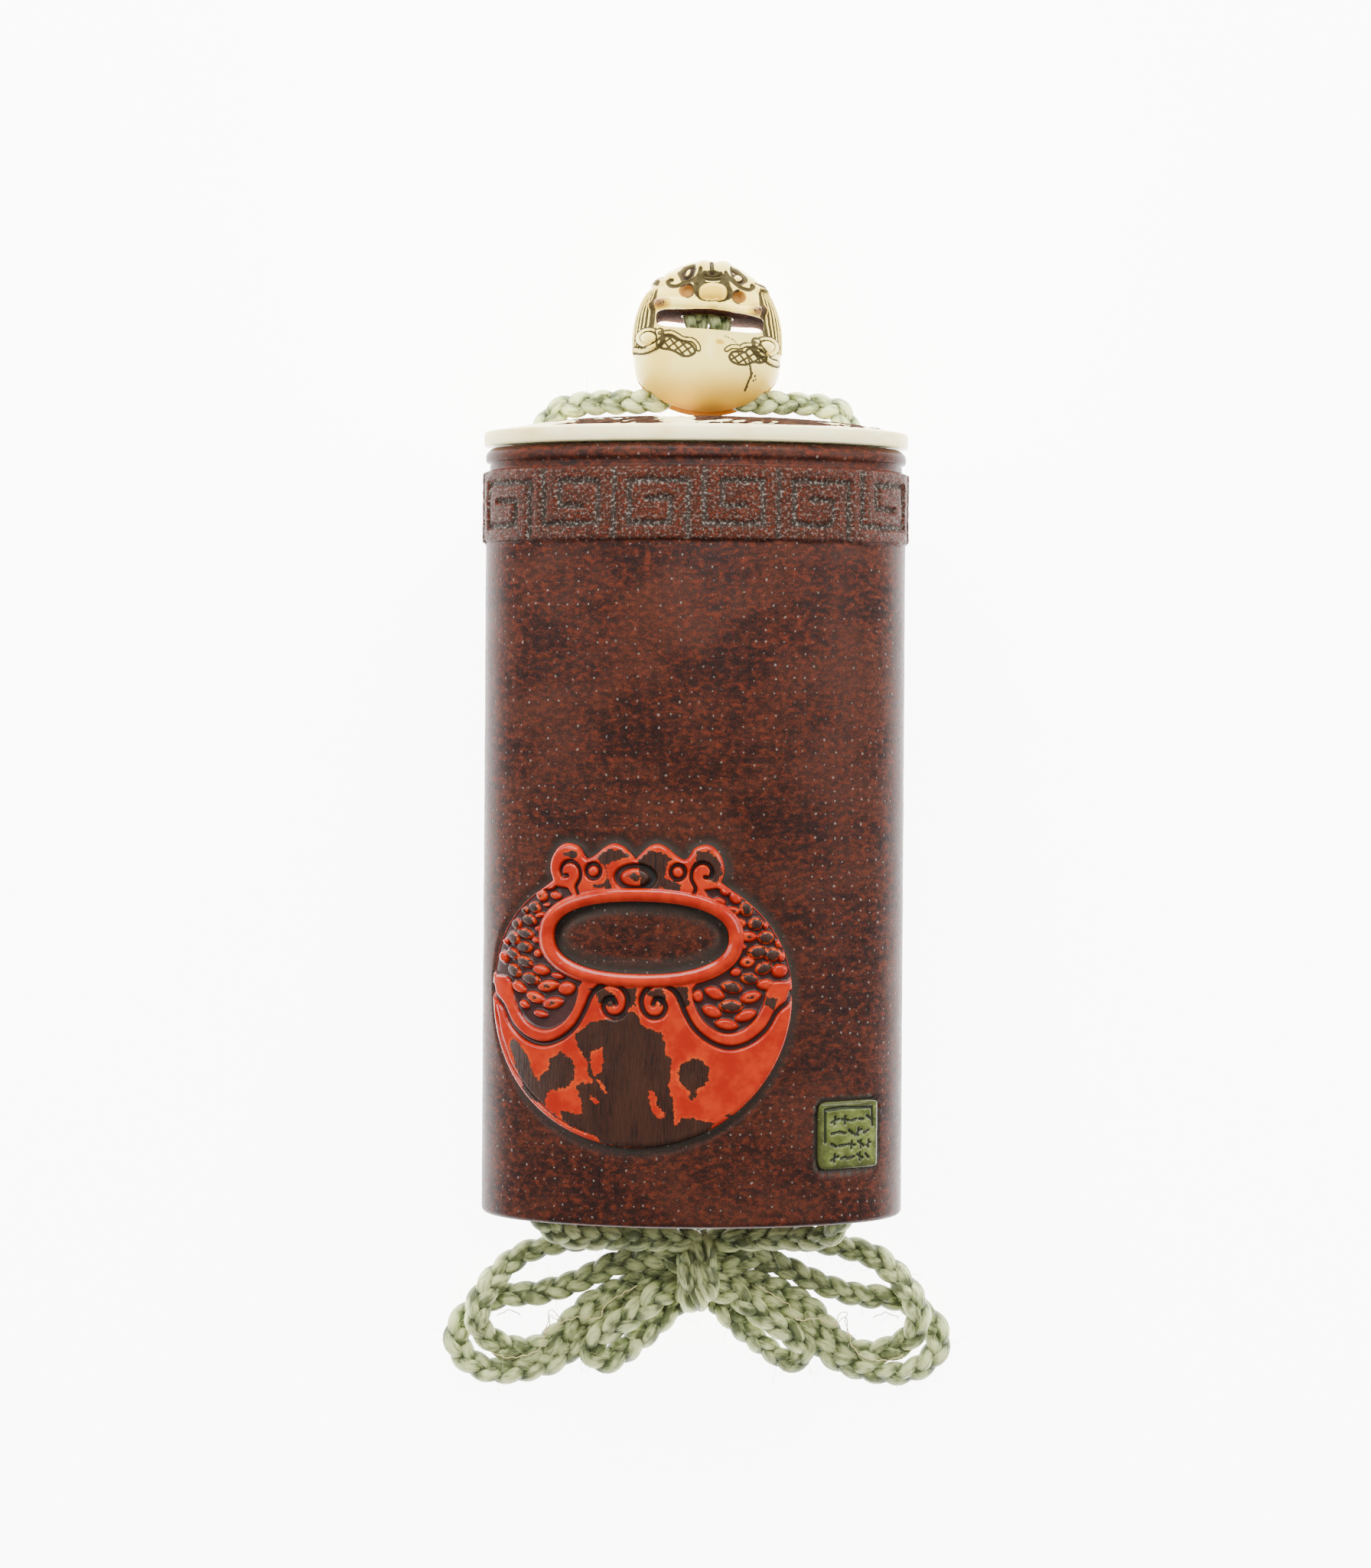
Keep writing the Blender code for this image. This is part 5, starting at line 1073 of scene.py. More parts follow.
across_below = slot_middle[0] + reach_below * np.cos(turn)
up_below = slot_middle[1] + reach_below * np.sin(turn)
UNDER = -0.2
rows = [on_oval(across, up, height), on_oval(across_below, up_below, UNDER),
        on_oval(across[:1], up[:1], height[:1])]
drum_points = np.concatenate(rows)
counts = (len(share), 16, 1)
drum_values = {
    "worn": np.concatenate([worn, np.full((16, len(turn)), -1.0), worn[:1]]).ravel(),
    "low": np.concatenate([cut, np.ones((16, len(turn))), cut[:1]]).ravel(),
    "tall": np.concatenate([height, np.full((16, len(turn)), UNDER), height[:1]]).ravel()}
drum_flat = np.stack([np.concatenate([across, across_below, across[:1]]).ravel(),
                      np.concatenate([up, up_below, up[:1]]).ravel()], axis=1)
drum = make_piece("red_fish_drum", drum_points.reshape(-1, 3) * MM, [grid_faces(sum(counts), len(turn))],
                  drum_flat, drum_values, weld=2e-8)
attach(drum, "root")
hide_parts("fish_drum_relief")

# %% [markdown]
# Red lacquer on dark, straight-grained wood. The lacquer is a little orange where it is thin, which is
# round each worn patch, and the grooves hold grey dirt.

# %% Red lacquer worn to the wood
red = Finish("red lacquer on wood")
sheet = red.place((1, 1, 1), flat=True)
patches = red.noise(sheet, 0.35, 3, 0.6)
ragged = red.noise(sheet, 1.7, 4, 0.62)
ragged_fine = red.noise(red.place((2.2, 0.8, 1), flat=True), 2.2, 3, 0.6)
worn_value = red.plus(red.value_of("worn"), red.sum("MULTIPLY_ADD", ragged, 1.25, -0.64))
worn_value = red.plus(worn_value, red.sum("MULTIPLY_ADD", ragged_fine, 0.40, -0.20))
is_worn = red.spread(worn_value, -0.01, 0.04)
thin_coat = red.spread(worn_value, -0.42, -0.05)
grain_place = red.place((7.0, 0.35, 1), flat=True)
grain = red.noise(grain_place, 1.0, 5, 0.65, 0.35)
grain_fine = red.noise(red.place((20, 0.55, 1), flat=True), 1.0, 3, 0.6)
broad = red.noise(red.place((0.35, 0.10, 1), flat=True), 1.0, 2)
pores = red.spread(red.noise(red.place((13, 1.1, 1), flat=True), 1.0, 2, 0.5), 0.66, 0.74, 0, 1)
wood = red.blend(red.spread(grain, 0.30, 0.70), (0.0040, 0.0020, 0.0014), (0.046, 0.0125, 0.0050))
wood = red.blend(red.spread(grain_fine, 0.35, 0.75, 0, 0.45), wood, (0.009, 0.004, 0.003))
wood = red.blend(red.spread(broad, 0.35, 0.65, 0, 0.40), wood, (0.050, 0.017, 0.008))
coat = red.blend(red.spread(patches, 0.35, 0.68), (0.30, 0.0105, 0.0024), (0.41, 0.025, 0.0036))
halo = red.times(thin_coat, red.spread(patches, 0.40, 0.62, 0.15, 0.75))
coat = red.blend(halo, coat, (0.50, 0.055, 0.006))
coat = red.blend(red.times(pores, 0.45), coat, (0.16, 0.020, 0.010))
colour = red.blend(is_worn, coat, wood)
low = red.spread(red.value_of("low"), 0.30, 0.92)
colour = red.blend(red.times(low, 0.93), colour, (0.013, 0.011, 0.011))
height = red.sum("SUBTRACT", red.times(ragged, 0.15), is_worn)
bump = red.bump(height, 0.00006, 0.8)
bump = red.bump(red.times(grain, is_worn), 0.00009, 0.8, bump)
rough = red.spread(is_worn, 0, 1, 0.13, 0.36)
red.set(Base_Color=colour, Roughness=red.sum("MULTIPLY_ADD", low, 0.22, rough), Normal=bump)
red.shader.inputs["Specular IOR Level"].default_value = 0.26
drum.data.materials.append(red.material)

# %% [markdown]
# The seal is a small glazed tablet let into the lacquer. Its writing is a thin border and rows of short
# strokes that aren't letters. They are sunk lines, computed row by row.

# %% Seal
seal_columns = np.linspace(-4.5, 4.5, 101)
seal_rows = np.linspace(-4.4, 4.4, 99)
x, y = np.meshgrid(seal_columns, seal_rows)
square = (np.abs(x / 4.5) ** 9 + np.abs(y / 4.4) ** 9) ** (1 / 9) + 1e-9
box = np.maximum(np.abs(x) / 4.5, np.abs(y) / 4.4) + 1e-9
x, y = x * box / square, y * box / square
to_edge = np.minimum(4.5 - np.abs(x), 4.4 - np.abs(y)) + 0.25 * (square - box)
strokes = np.zeros(x.shape)
random = np.random.default_rng(41)
border = [(-3.55, -0.8), (-3.6, 3.35), (-1.2, 3.6), (3.4, 3.4), (3.5, 1.0)]
strokes = np.maximum(strokes, 1 - rise(0.10, 0.28, far_from(x, y, border)[0]))
for row in range(4):
    level = 1.95 - 1.62 * row
    start = -2.7
    while start < 2.6:
        length = random.uniform(0.5, 1.05)
        lift = random.uniform(-0.45, 0.45)
        line = [(start, level - lift), (start + length, level + lift * 0.6)]
        strokes = np.maximum(strokes, 1 - rise(0.09, 0.27, far_from(x, y, line)[0]))
        if random.uniform() < 0.55:
            line = [(start + length * 0.5, level + 0.5), (start + length * 0.45, level - 0.5)]
            strokes = np.maximum(strokes, 1 - rise(0.08, 0.24, far_from(x, y, line)[0]))
        start += length + random.uniform(0.32, 0.5)
top = (0.40 * np.sqrt(1 - (1 - np.clip(to_edge / 0.5, 0, 1)) ** 2) + 0.02 * ripple(x, y, 2.4, 42)
       - 0.24 * strokes)
skirt = np.full(top.shape, -0.2)
shell = on_oval(SEAL[0] + x, SEAL[1] + y, np.maximum(top, -0.15))
under_shell = on_oval(SEAL[0] + x, SEAL[1] + y, skirt)


def sheet_solid(upper, lower):
    """Closes two sheets of the same grid along their edges: points and faces of the solid between them."""
    rows, columns = upper.shape[:2]
    ring = np.concatenate([np.arange(columns), columns * np.arange(1, rows) + columns - 1,
                           columns * (rows - 1) + np.arange(columns - 2, -1, -1),
                           columns * np.arange(rows - 2, 0, -1)])
    following = np.roll(ring, -1)
    count = rows * columns
    side = np.stack([ring, following, following + count, ring + count], axis=1)
    points = np.concatenate([upper.reshape(-1, 3), lower.reshape(-1, 3)])
    return points, [grid_faces(rows, columns), grid_faces(rows, columns, count), side]


seal_points, seal_faces = sheet_solid(shell, under_shell)
seal_flat = np.stack([x.ravel(), y.ravel()], axis=1)
seal = make_piece("green_seal", seal_points * MM, seal_faces, np.concatenate([seal_flat, seal_flat]),
                  {"line": np.concatenate([strokes.ravel(), np.zeros(x.size)]),
                   "edge": np.concatenate([to_edge.ravel(), np.zeros(x.size)])}, weld=1e-7)
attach(seal, "root")
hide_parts("seal_inlay")

# %% [markdown]
# The glaze is yellow green. It pools darker in the sunk lines and thins to brown at the edge.

# %% Glaze of the seal
glaze = Finish("yellow-green glaze")
sheet = glaze.place((1, 1, 1), flat=True)
cloud = glaze.noise(sheet, 0.45, 3, 0.6)
fine = glaze.noise(sheet, 3.0, 3, 0.6)
edge = glaze.plus(glaze.value_of("edge"), glaze.sum("MULTIPLY_ADD", cloud, 1.6, -0.8))
colour = glaze.blend(glaze.spread(cloud, 0.35, 0.68), (0.060, 0.072, 0.014), (0.14, 0.170, 0.042))
colour = glaze.blend(glaze.spread(edge, 0.1, 1.3, 0.8, 0.0), colour, (0.035, 0.038, 0.010))
colour = glaze.blend(glaze.spread(fine, 0.62, 0.75, 0, 0.5), colour, (0.42, 0.44, 0.20))
colour = glaze.blend(glaze.spread(glaze.value_of("line"), 0.25, 0.7, 0, 0.92), colour,
                     (0.018, 0.022, 0.010))
glaze.shader.inputs["Specular IOR Level"].default_value = 0.25
glaze.set(Base_Color=colour, Roughness=0.24, Normal=glaze.bump(cloud, 0.0001, 0.5))
seal.data.materials.append(glaze.material)

# %% [markdown]
# The lid is one piece of ivory: a pale polished edge and a low dome that keeps patches of the tusk's
# brown skin. Below it, a hollow spigot fits the mouth of the box. It has a flared hole for the cord at
# each end. The dome's rings are the oval shrunk towards the middle.

# %% Lid
LID_BOTTOM = 101.3
LID_EDGE = 103.2
LID_TOP = 105.2
SPIGOT_LOW = 98.4
HOLE_SIDES = 48
oval_steps = np.interp(np.linspace(-math.pi, math.pi, 361), oval_angles, oval_arc)


def oval_loop(share, relief, y):
    """The box's oval at one height, moved out by a relief and shrunk towards its middle."""
    ring = on_oval(oval_steps, y, relief)
    ring[:, 0] *= share
    ring[:, 2] = BODY_Z + (ring[:, 2] - BODY_Z) * share
    return ring


dome_shares = 1 - np.linspace(0, 1, 90) ** 1.6
edge_profile = [(1.0, 0.15, LID_BOTTOM), (1.0, 0.30, LID_BOTTOM + 0.18), (1.0, 0.30, LID_EDGE - 0.35),
                (1.0, 0.22, LID_EDGE - 0.12), (1.0, 0.05, LID_EDGE)]
lid_rings = [oval_loop(*step) for step in edge_profile]
for dome_share in dome_shares[1:-1]:
    lid_rings.append(oval_loop(dome_share, 0.05, LID_EDGE + 2.0 * (1 - dome_share ** 3)))
lid_grid = np.stack(lid_rings)
middle_x = lid_grid[:, :, 0]
middle_z = lid_grid[:, :, 2]
on_dome = np.concatenate([np.zeros(5), rise(1.0, 0.93, dome_shares[1:-1])])[:, None]
bark = 0.8 * ripple(middle_x * 0.55, middle_z, 6.0, 51) + 0.3 * ripple(middle_x, middle_z * 1.6, 1.8, 52)
in_patch = rise(-16.2, -14.6, middle_x) * (1 - rise(-6.2, -4.4, middle_x))
in_patch = np.maximum(in_patch, rise(-1.2, 1.2, middle_x) * (1 - rise(20.8, 22.4, middle_x)))
bark += 1.1 * (in_patch - 0.5)
bark_share = rise(-0.25, 0.30, bark) * on_dome
lid_grid[:, :, 1] += (0.16 * bark_share - 0.10 * on_dome)
hole_far = np.hypot(np.abs(middle_x) - CORD_HOLE_X, middle_z - BODY_Z)
lid_grid[:, :, 1] -= 0.35 * (1 - rise(2.8, 4.4, hole_far)) * on_dome
lid_values = bark_share.ravel()
crown = np.array([[0.0, BASE_Y + LID_TOP + 0.05, BODY_Z]])
lid_points = [lid_grid.reshape(-1, 3), crown]
count = lid_grid.shape[1]
last = (lid_grid.shape[0] - 1) * count
fan = np.stack([last + np.arange(count - 1), last + np.arange(1, count),
                np.full(count - 1, lid_grid.size // 3)], axis=1)
lid_faces = [grid_faces(lid_grid.shape[0], count), fan]
print("rings of the dome", lid_grid.shape[:2])

# %% [markdown]
# The spigot is a short tube that drops into the mouth of the box. The two flared holes for the cord are
# cut last, as solids, because they cross the dome and the flat underside.

# %% Spigot and cord holes
first = lid_grid.size // 3 + 1
spigot_outer = superellipse(0, BODY_Z, ROOM_HALF_WIDTH - 0.4, ROOM_HALF_DEPTH - 0.4, 96, 2.6)
spigot_inner = superellipse(0, BODY_Z, ROOM_HALF_WIDTH - 2.0, ROOM_HALF_DEPTH - 2.0, 96, 2.6)


def wall_between(loop, low, high):
    """A straight wall over a closed outline, and its faces."""
    closed = np.concatenate([loop, loop[:1]])
    rows = [np.stack([closed[:, 0], np.full(len(closed), BASE_Y + y), closed[:, 1]], axis=1)
            for y in (low, high)]
    return np.concatenate(rows), len(closed)


for loop, low, high in ((spigot_outer, SPIGOT_LOW, LID_BOTTOM), (spigot_inner, SPIGOT_LOW, LID_BOTTOM)):
    places, width = wall_between(loop, low, high)
    lid_points.append(places)
    lid_faces.append(grid_faces(2, width, first))
    first += len(places)
under_loop = lid_grid[0][:-1][:, [0, 2]]
for outer, holes, level in ((under_loop, [spigot_outer], LID_BOTTOM), (spigot_inner, [], LID_BOTTOM),
                            (spigot_outer, [spigot_inner], SPIGOT_LOW)):
    places, triangles = plate(outer, holes, BASE_Y + level)
    lid_points.append(places)
    lid_faces.append(triangles + first)
    first += len(places)
lid_points = np.concatenate(lid_points)
bark_values = np.concatenate([lid_values, np.zeros(len(lid_points) - len(lid_values))])
lid = make_piece("ivory_lid", lid_points * MM, lid_faces, lid_points[:, [0, 2]], {"bark": bark_values},
                 weld=5e-7)
for side in (-1, 1):
    profile = np.array([(LID_BOTTOM - 1.0, 1.8), (LID_BOTTOM, 1.8), (LID_EDGE - 0.4, 2.1),
                        (LID_EDGE + 0.6, 2.8), (LID_EDGE + 1.3, 3.4), (LID_TOP + 1.0, 3.7)])
    turn = np.linspace(0, math.tau, HOLE_SIDES + 1)
    cone = np.stack([side * CORD_HOLE_X + profile[:, 1:] * np.cos(turn), BASE_Y + profile[:, :1] + 0 * turn,
                     BODY_Z + profile[:, 1:] * np.sin(turn)], axis=-1)
    cutter = make_piece("cord hole tool", cone.reshape(-1, 3) * MM,
                        [grid_faces(len(profile), len(turn)), np.arange(HOLE_SIDES)[None],
                         (len(turn) * (len(profile) - 1) + np.arange(HOLE_SIDES))[None]])
    step = lid.modifiers.new("cord hole", "BOOLEAN")
    step.operation = "DIFFERENCE"
    step.solver = "EXACT"
    step.object = cutter
    shape = bpy.data.meshes.new_from_object(lid.evaluated_get(bpy.context.evaluated_depsgraph_get()))
    lid.modifiers.clear()
    lid.data = shape
    bpy.data.objects.remove(cutter)
lid.data.shade_smooth()
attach(lid, "root")
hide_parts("lid")
print("lid triangles", sum(len(polygon.vertices) - 2 for polygon in lid.data.polygons))

# %% [markdown]
# Ivory is creamy and a little translucent, with faint long bands. On the lid its brown skin is left
# in patches, darker towards their middle.

# %% Ivory of the lid
skin = Finish("ivory with its brown skin")
place = skin.place((1000, 1000, 1000))
bands = skin.noise(skin.place((120, 900, 700)), 1.0, 3, 0.5, 0.4)
cloud = skin.noise(place, 0.20, 3, 0.5)
flecks = skin.noise(skin.place((900, 1500, 2200)), 1.0, 4, 0.65)
colour = skin.blend(skin.spread(bands, 0.3, 0.7), (0.97, 0.85, 0.42), (0.98, 0.92, 0.54))
colour = skin.blend(skin.spread(cloud, 0.45, 0.75, 0, 0.5), colour, (0.78, 0.50, 0.18))
bark = skin.sum("MULTIPLY_ADD", flecks, 0.6, skin.value_of("bark"))
brown = skin.blend(skin.spread(flecks, 0.35, 0.7), (0.008, 0.003, 0.002), (0.07, 0.028, 0.011))
colour = skin.blend(skin.spread(bark, 0.58, 0.85, 0, 1.0), colour, brown)
skin.shader.inputs["Specular IOR Level"].default_value = 0.04
skin.set(Base_Color=colour, Roughness=skin.spread(bark, 0.6, 0.9, 0.26, 1.0),
         Normal=skin.bump(flecks, 0.00008, 0.6))
skin.shader.inputs["Subsurface Weight"].default_value = 0.12
skin.shader.inputs["Subsurface Scale"].default_value = 0.001
skin.shader.inputs["Subsurface Radius"].default_value = (0.8, 0.5, 0.3)
lid.data.materials.append(skin.material)

# %% [markdown]
# The bead is a small ivory fish drum: two crouched beast heads share one round body, with a slot for a
# mouth. Only the front head is seen well. Its features are placed in mm from the bead's axis and above
# its bottom. Each adds a bump or a groove, and each groove also takes dark pigment.

# %% Features of the bead
BEAD_BOTTOM = 42.8
BEAD_HEIGHT = 20.6
BEAD_HALF_WIDTH = 9.9
BEAD_HALF_DEPTH = 9.0
BEAD_Z = 8.8
NOSE_RECESS = ((-2.0, 16.9), (-1.5, 17.9), (-0.6, 18.8), (0.6, 19.0), (1.8, 18.7), (2.8, 17.6), (3.3, 16.1),
               (3.2, 14.7), (2.2, 14.2), (0.6, 14.0), (-1.0, 14.2), (-1.8, 15.2))
LEFT_EYE = ((-3.7, 18.3), (-3.1, 19.2), (-1.9, 19.6), (-1.8, 18.9), (-2.1, 17.9), (-2.7, 17.4),
            (-3.4, 17.4))
RIGHT_EYE = ((3.1, 19.2), (3.9, 18.9), (4.7, 18.1), (4.9, 17.3), (4.4, 16.9), (3.7, 17.3), (3.3, 18.1))
LEFT_SCROLL = ((-1.0, 19.0), (-1.2, 18.2), (-1.8, 17.4), (-2.6, 17.1), (-3.3, 16.9), (-4.0, 16.5),
               (-4.8, 16.5), (-5.3, 16.9), (-5.2, 17.4), (-4.8, 17.4))
RIGHT_SCROLL = ((2.4, 18.5), (2.7, 17.9), (3.4, 17.1), (4.3, 16.4), (5.4, 16.1), (5.9, 16.4), (5.9, 16.8))
LEFT_EAR = ((-6.0, 18.0), (-6.5, 17.7), (-6.9, 17.3), (-6.6, 17.0), (-6.3, 17.3))
RIGHT_EAR = ((6.4, 17.2), (6.8, 16.8), (7.4, 16.7), (7.5, 16.2), (7.0, 16.1))
LEFT_HATCH = ((-6.5, 9.0), (-5.8, 9.6), (-4.8, 9.7), (-4.1, 9.2), (-3.0, 8.9), (-2.0, 8.3), (-1.6, 7.4),
              (-2.3, 6.9), (-3.3, 6.9), (-4.1, 7.4), (-5.0, 7.8), (-6.2, 8.1))
RIGHT_HATCH = ((2.8, 6.9), (3.2, 7.5), (4.2, 7.7), (4.9, 7.6), (5.3, 8.0), (6.2, 8.3), (7.2, 7.6),
               (7.7, 6.8), (7.1, 6.3), (6.1, 6.3), (5.2, 5.9), (4.0, 5.9), (3.1, 6.3))
LEFT_LINE = ((-5.9, 10.1), (-4.8, 10.1), (-4.0, 9.7), (-3.2, 9.2), (-2.0, 9.0), (-1.3, 8.3), (-1.2, 7.8))
RIGHT_LINE = ((2.5, 7.8), (3.2, 8.2), (4.3, 8.2), (4.9, 8.5), (6.1, 8.6))
LEFT_TAIL = ((-6.3, 10.3), (-6.1, 9.6), (-6.3, 8.8), (-7.2, 8.3), (-8.4, 8.0), (-9.5, 8.3))
RIGHT_TAIL = ((6.3, 9.1), (6.4, 8.3), (7.1, 7.5), (8.3, 6.7), (9.2, 6.6))
CRACK = ((2.2, 9.6), (3.4, 9.1), (4.2, 8.3), (5.4, 6.9), (5.6, 6.1), (5.8, 4.7), (5.3, 3.5), (5.0, 2.7))
CRACK_SPOTS = ((5.9, 4.9, 0.16), (5.8, 4.4, 0.14), (6.3, 4.6, 0.15), (6.1, 4.0, 0.13), (5.7, 5.4, 0.12),
               (5.4, 3.9, 0.10), (6.4, 4.2, 0.10), (5.3, 3.2, 0.10))
print("spots by the crack", len(CRACK_SPOTS))

# %% [markdown]
# The carving is one function of the place on the bead. It adds bumps and takes away grooves in turn:
# brows, nose, eyes, scrolls, nostrils, mane, curls, hatching and the crack.

# %% Carving of the bead
def oval_share(x, y, middle_x, middle_y, half_width, half_height, power=2.0, turn=0.0):
    """0 in the middle of an oval, 1 on its edge."""
    dx, dy = x - middle_x, y - middle_y
    dx, dy = dx * math.cos(turn) + dy * math.sin(turn), dy * math.cos(turn) - dx * math.sin(turn)
    return (np.abs(dx / half_width) ** power + np.abs(dy / half_height) ** power) ** (1 / power)


def bead_carving(x, y, angle):
    """Height in mm out of the plain bead, with shares of dark pigment and brown stain."""
    height = np.zeros(x.shape)
    dark = np.zeros(x.shape)
    brown = np.zeros(x.shape)
    front = np.cos(angle) > 0.05

    def groove(line, half_width, depth, pigment=1.0, closed=False):
        """Sinks a smooth line into the surface and darkens it."""
        nonlocal height, dark
        far = far_from(x, y, smooth_line(line, 4) if not closed else line, closed=closed)[0] / 1.35
        cut = (1 - rise(half_width * 0.4, half_width * 1.1, far)) * front
        height = height - depth * cut
        dark = np.maximum(dark, pigment * cut)

    recess = within(x, y, NOSE_RECESS) + 0.10 * ripple(x, y, 1.2, 61)
    height = height - 1.05 * rise(-0.15, 0.55, recess) * front
    dark = np.maximum(dark, rise(-0.02, 0.16, recess) * front)
    for level in (17.25, 17.85, 18.35):
        far = np.abs(y - level - 0.16 * ((x - 0.7) / 1.1) ** 2)
        wrinkle = (1 - rise(0.07, 0.20, far)) * (1 - rise(0.9, 1.45, np.abs(x - 0.7))) * front
        height = height + 0.38 * wrinkle
        dark = dark * (1 - (0.95 if level < 17.5 else 0.45) * wrinkle)
    nose = oval_share(x, y, 0.7, 15.6, 2.05, 1.40, 2.5)
    ball = np.sqrt(np.clip(1 - nose ** 2.2, 0, 1)) * front
    brown = np.maximum(brown, 0.30 * rise(0.0, 0.8, ball))
    height = height + 1.95 * ball
    dark = dark * (1 - rise(0.10, 0.34, ball))
    for middle_x, middle_y, half_width, half_height, out in (
            (-0.5, 19.7, 1.1, 0.8, 0.55), (2.0, 19.6, 1.3, 0.9, 0.60),
            (-4.6, 18.3, 1.2, 0.8, 0.30), (5.4, 17.6, 1.1, 0.8, 0.30)):
        height = height + out * np.clip(
            1 - oval_share(x, y, middle_x, middle_y, half_width, half_height) ** 2, 0, 1) * front
    groove(((0.5, 20.3), (0.5, 19.4), (0.6, 18.6)), 0.26, 0.5)
    for eye, middle_x, middle_y, half_width, half_height, turn in (
            (LEFT_EYE, -2.65, 18.4, 0.34, 0.80, -0.42), (RIGHT_EYE, 4.05, 17.75, 0.60, 0.54, -0.3)):
        hollow = within(x, y, smooth_line(eye + eye[:1], 3)[:-1])
        height = height - 0.42 * rise(-0.05, 0.22, hollow) * front
        brown = np.maximum(brown, 0.9 * rise(0.0, 0.2, hollow) * front)
        groove(eye, 0.24, 0.12, 1.0, closed=True)
        pupil = oval_share(x, y, middle_x, middle_y, half_width, half_height, 2.0, turn)
        height = height + 0.50 * np.sqrt(np.clip(1 - pupil ** 2, 0, 1)) * front
        clear = (1 - rise(0.70, 1.0, pupil)) * front
        dark = np.maximum(dark * (1 - clear),
                          (1 - rise(0.08, 0.22, np.abs(pupil - 1.12) * half_width)) * 0.8 * front)
        brown = brown * (1 - clear)
    for line in (LEFT_SCROLL, RIGHT_SCROLL):
        groove(line, 0.24, 0.35)
    for line in (LEFT_EAR, RIGHT_EAR):
        groove(line, 0.20, 0.30, 0.8)
    for middle_x, middle_y in ((-6.6, 17.5), (7.1, 16.6)):
        height = height + 0.55 * np.clip(
            1 - oval_share(x, y, middle_x, middle_y, 1.3, 0.9) ** 2, 0, 1) * front
    for middle_x, middle_y, half_width, half_height in ((-2.9, 15.8, 1.0, 1.0), (4.2, 15.0, 0.9, 0.9)):
        hole = oval_share(x, y, middle_x, middle_y, half_width, half_height)
        height = height - 1.15 * (1 - rise(0.55, 1.08, hole)) * front
        brown = np.maximum(brown, (1 - rise(0.9, 1.1, hole)) * front)
        dark = np.maximum(dark, 0.75 * (1 - rise(0.06, 0.22, np.abs(hole - 1.05) * half_width))
                          * (np.abs(x) < np.abs(middle_x)) * front)
    for line in (((-7.3, 14.0), (-6.0, 14.4), (-4.0, 14.1), (-2.0, 13.9), (0.6, 13.7)),
                 ((0.6, 13.7), (2.2, 13.6), (3.8, 13.1), (5.4, 13.1), (7.3, 13.4))):
        far = far_from(x, y, smooth_line(line, 4))[0]
        height = height + 0.42 * (1 - rise(0.15, 0.85, far)) * front
    for middle_x, middle_y in ((-6.2, 14.2), (6.6, 13.2)):
        dx, dy = x - middle_x, (y - middle_y) * 1.3
        out = np.hypot(dx, dy)
        hairs = 0.5 + 0.5 * np.sin(np.arctan2(dy, dx) * 24 + 2.5 * ripple(x, y, 0.9, 62))
        dark = np.maximum(dark, (1 - rise(0.15, 0.70, out)) * front * 0.26)
        dark = np.maximum(dark, (1 - rise(0.4, 1.7, out)) * hairs ** 2 * 0.55 * front)
        brown = np.maximum(brown, 0.85 * (1 - rise(0.2, 1.9, out)) * front)

    side = np.degrees(np.abs(angle))
    near = 47 + 10 * np.clip((y - 11.5) / 5, 0, 1) ** 2 + 4 * np.clip((11.5 - y) / 3, 0, 1)
    far_side = 108 - 26 * np.clip((y - 12.5) / 4, 0, 1) ** 2
    ridge = (side - near) / (far_side - near)
    on_mane = (rise(0, 0.03, ridge) * (1 - rise(0.95, 1.0, ridge))
               * rise(7.6, 8.4, y) * (1 - rise(15.9, 16.7, y)))
    wave = np.cos(math.tau * ridge * 10)
    height = height + on_mane * 0.20 * wave
    dark = np.maximum(dark, on_mane * rise(-0.75, 0.15, -wave))
    edge_line = (1 - rise(0.006, 0.022, np.abs(ridge))) * rise(8.4, 9.2, y) * (1 - rise(15.9, 16.7, y))
    dark = np.maximum(dark, 0.9 * edge_line)

    for middle_x, middle_y, tail in ((-7.6, 9.6, LEFT_TAIL), (7.6, 8.5, RIGHT_TAIL)):
        curl = oval_share(x, y, middle_x, middle_y, 1.0, 0.74, 2.0, math.copysign(0.25, middle_x))
        inside_curl = (1 - rise(1.7, 1.95, curl)) * front
        dark = dark * (1 - inside_curl)
        height = (height * (1 - inside_curl)
                  + inside_curl * (0.30 + 0.45 * np.sqrt(np.clip(1 - curl ** 2, 0, 1))))
        ring = (1 - rise(0.05, 0.17, np.abs(curl - 1.12))) * front
        height = height - 0.30 * ring
        dark = np.maximum(dark, ring * rise(-0.9, 0.2, (y - middle_y) / 0.8))
        dark = np.maximum(dark, (1 - rise(0.05, 0.16, np.abs(curl - 1.82))) * front)
        far = far_from(x, y, smooth_line(tail, 4))[0]
        height = height + 0.30 * (1 - rise(0.12, 0.40, far)) * front
        dark = dark * (1 - (1 - rise(0.15, 0.28, far)) * front)
        dark = np.maximum(dark, (1 - rise(0.06, 0.17, np.abs(far - 0.42))) * 0.9 * front)
    for field, line in ((LEFT_HATCH, LEFT_LINE), (RIGHT_HATCH, RIGHT_LINE)):
        far = within(x, y, smooth_line(field + field[:1], 3)[:-1])
        in_hatch = rise(0.0, 0.12, far) * front
        one = np.abs(np.mod((x * 0.80 + y * 0.66) / 0.86, 1) - 0.5) * 0.86
        two = np.abs(np.mod((x * 0.55 - y * 0.86) / 0.86, 1) - 0.5) * 0.86
        lines = np.maximum(1 - rise(0.05, 0.16, one), 1 - rise(0.05, 0.16, two))
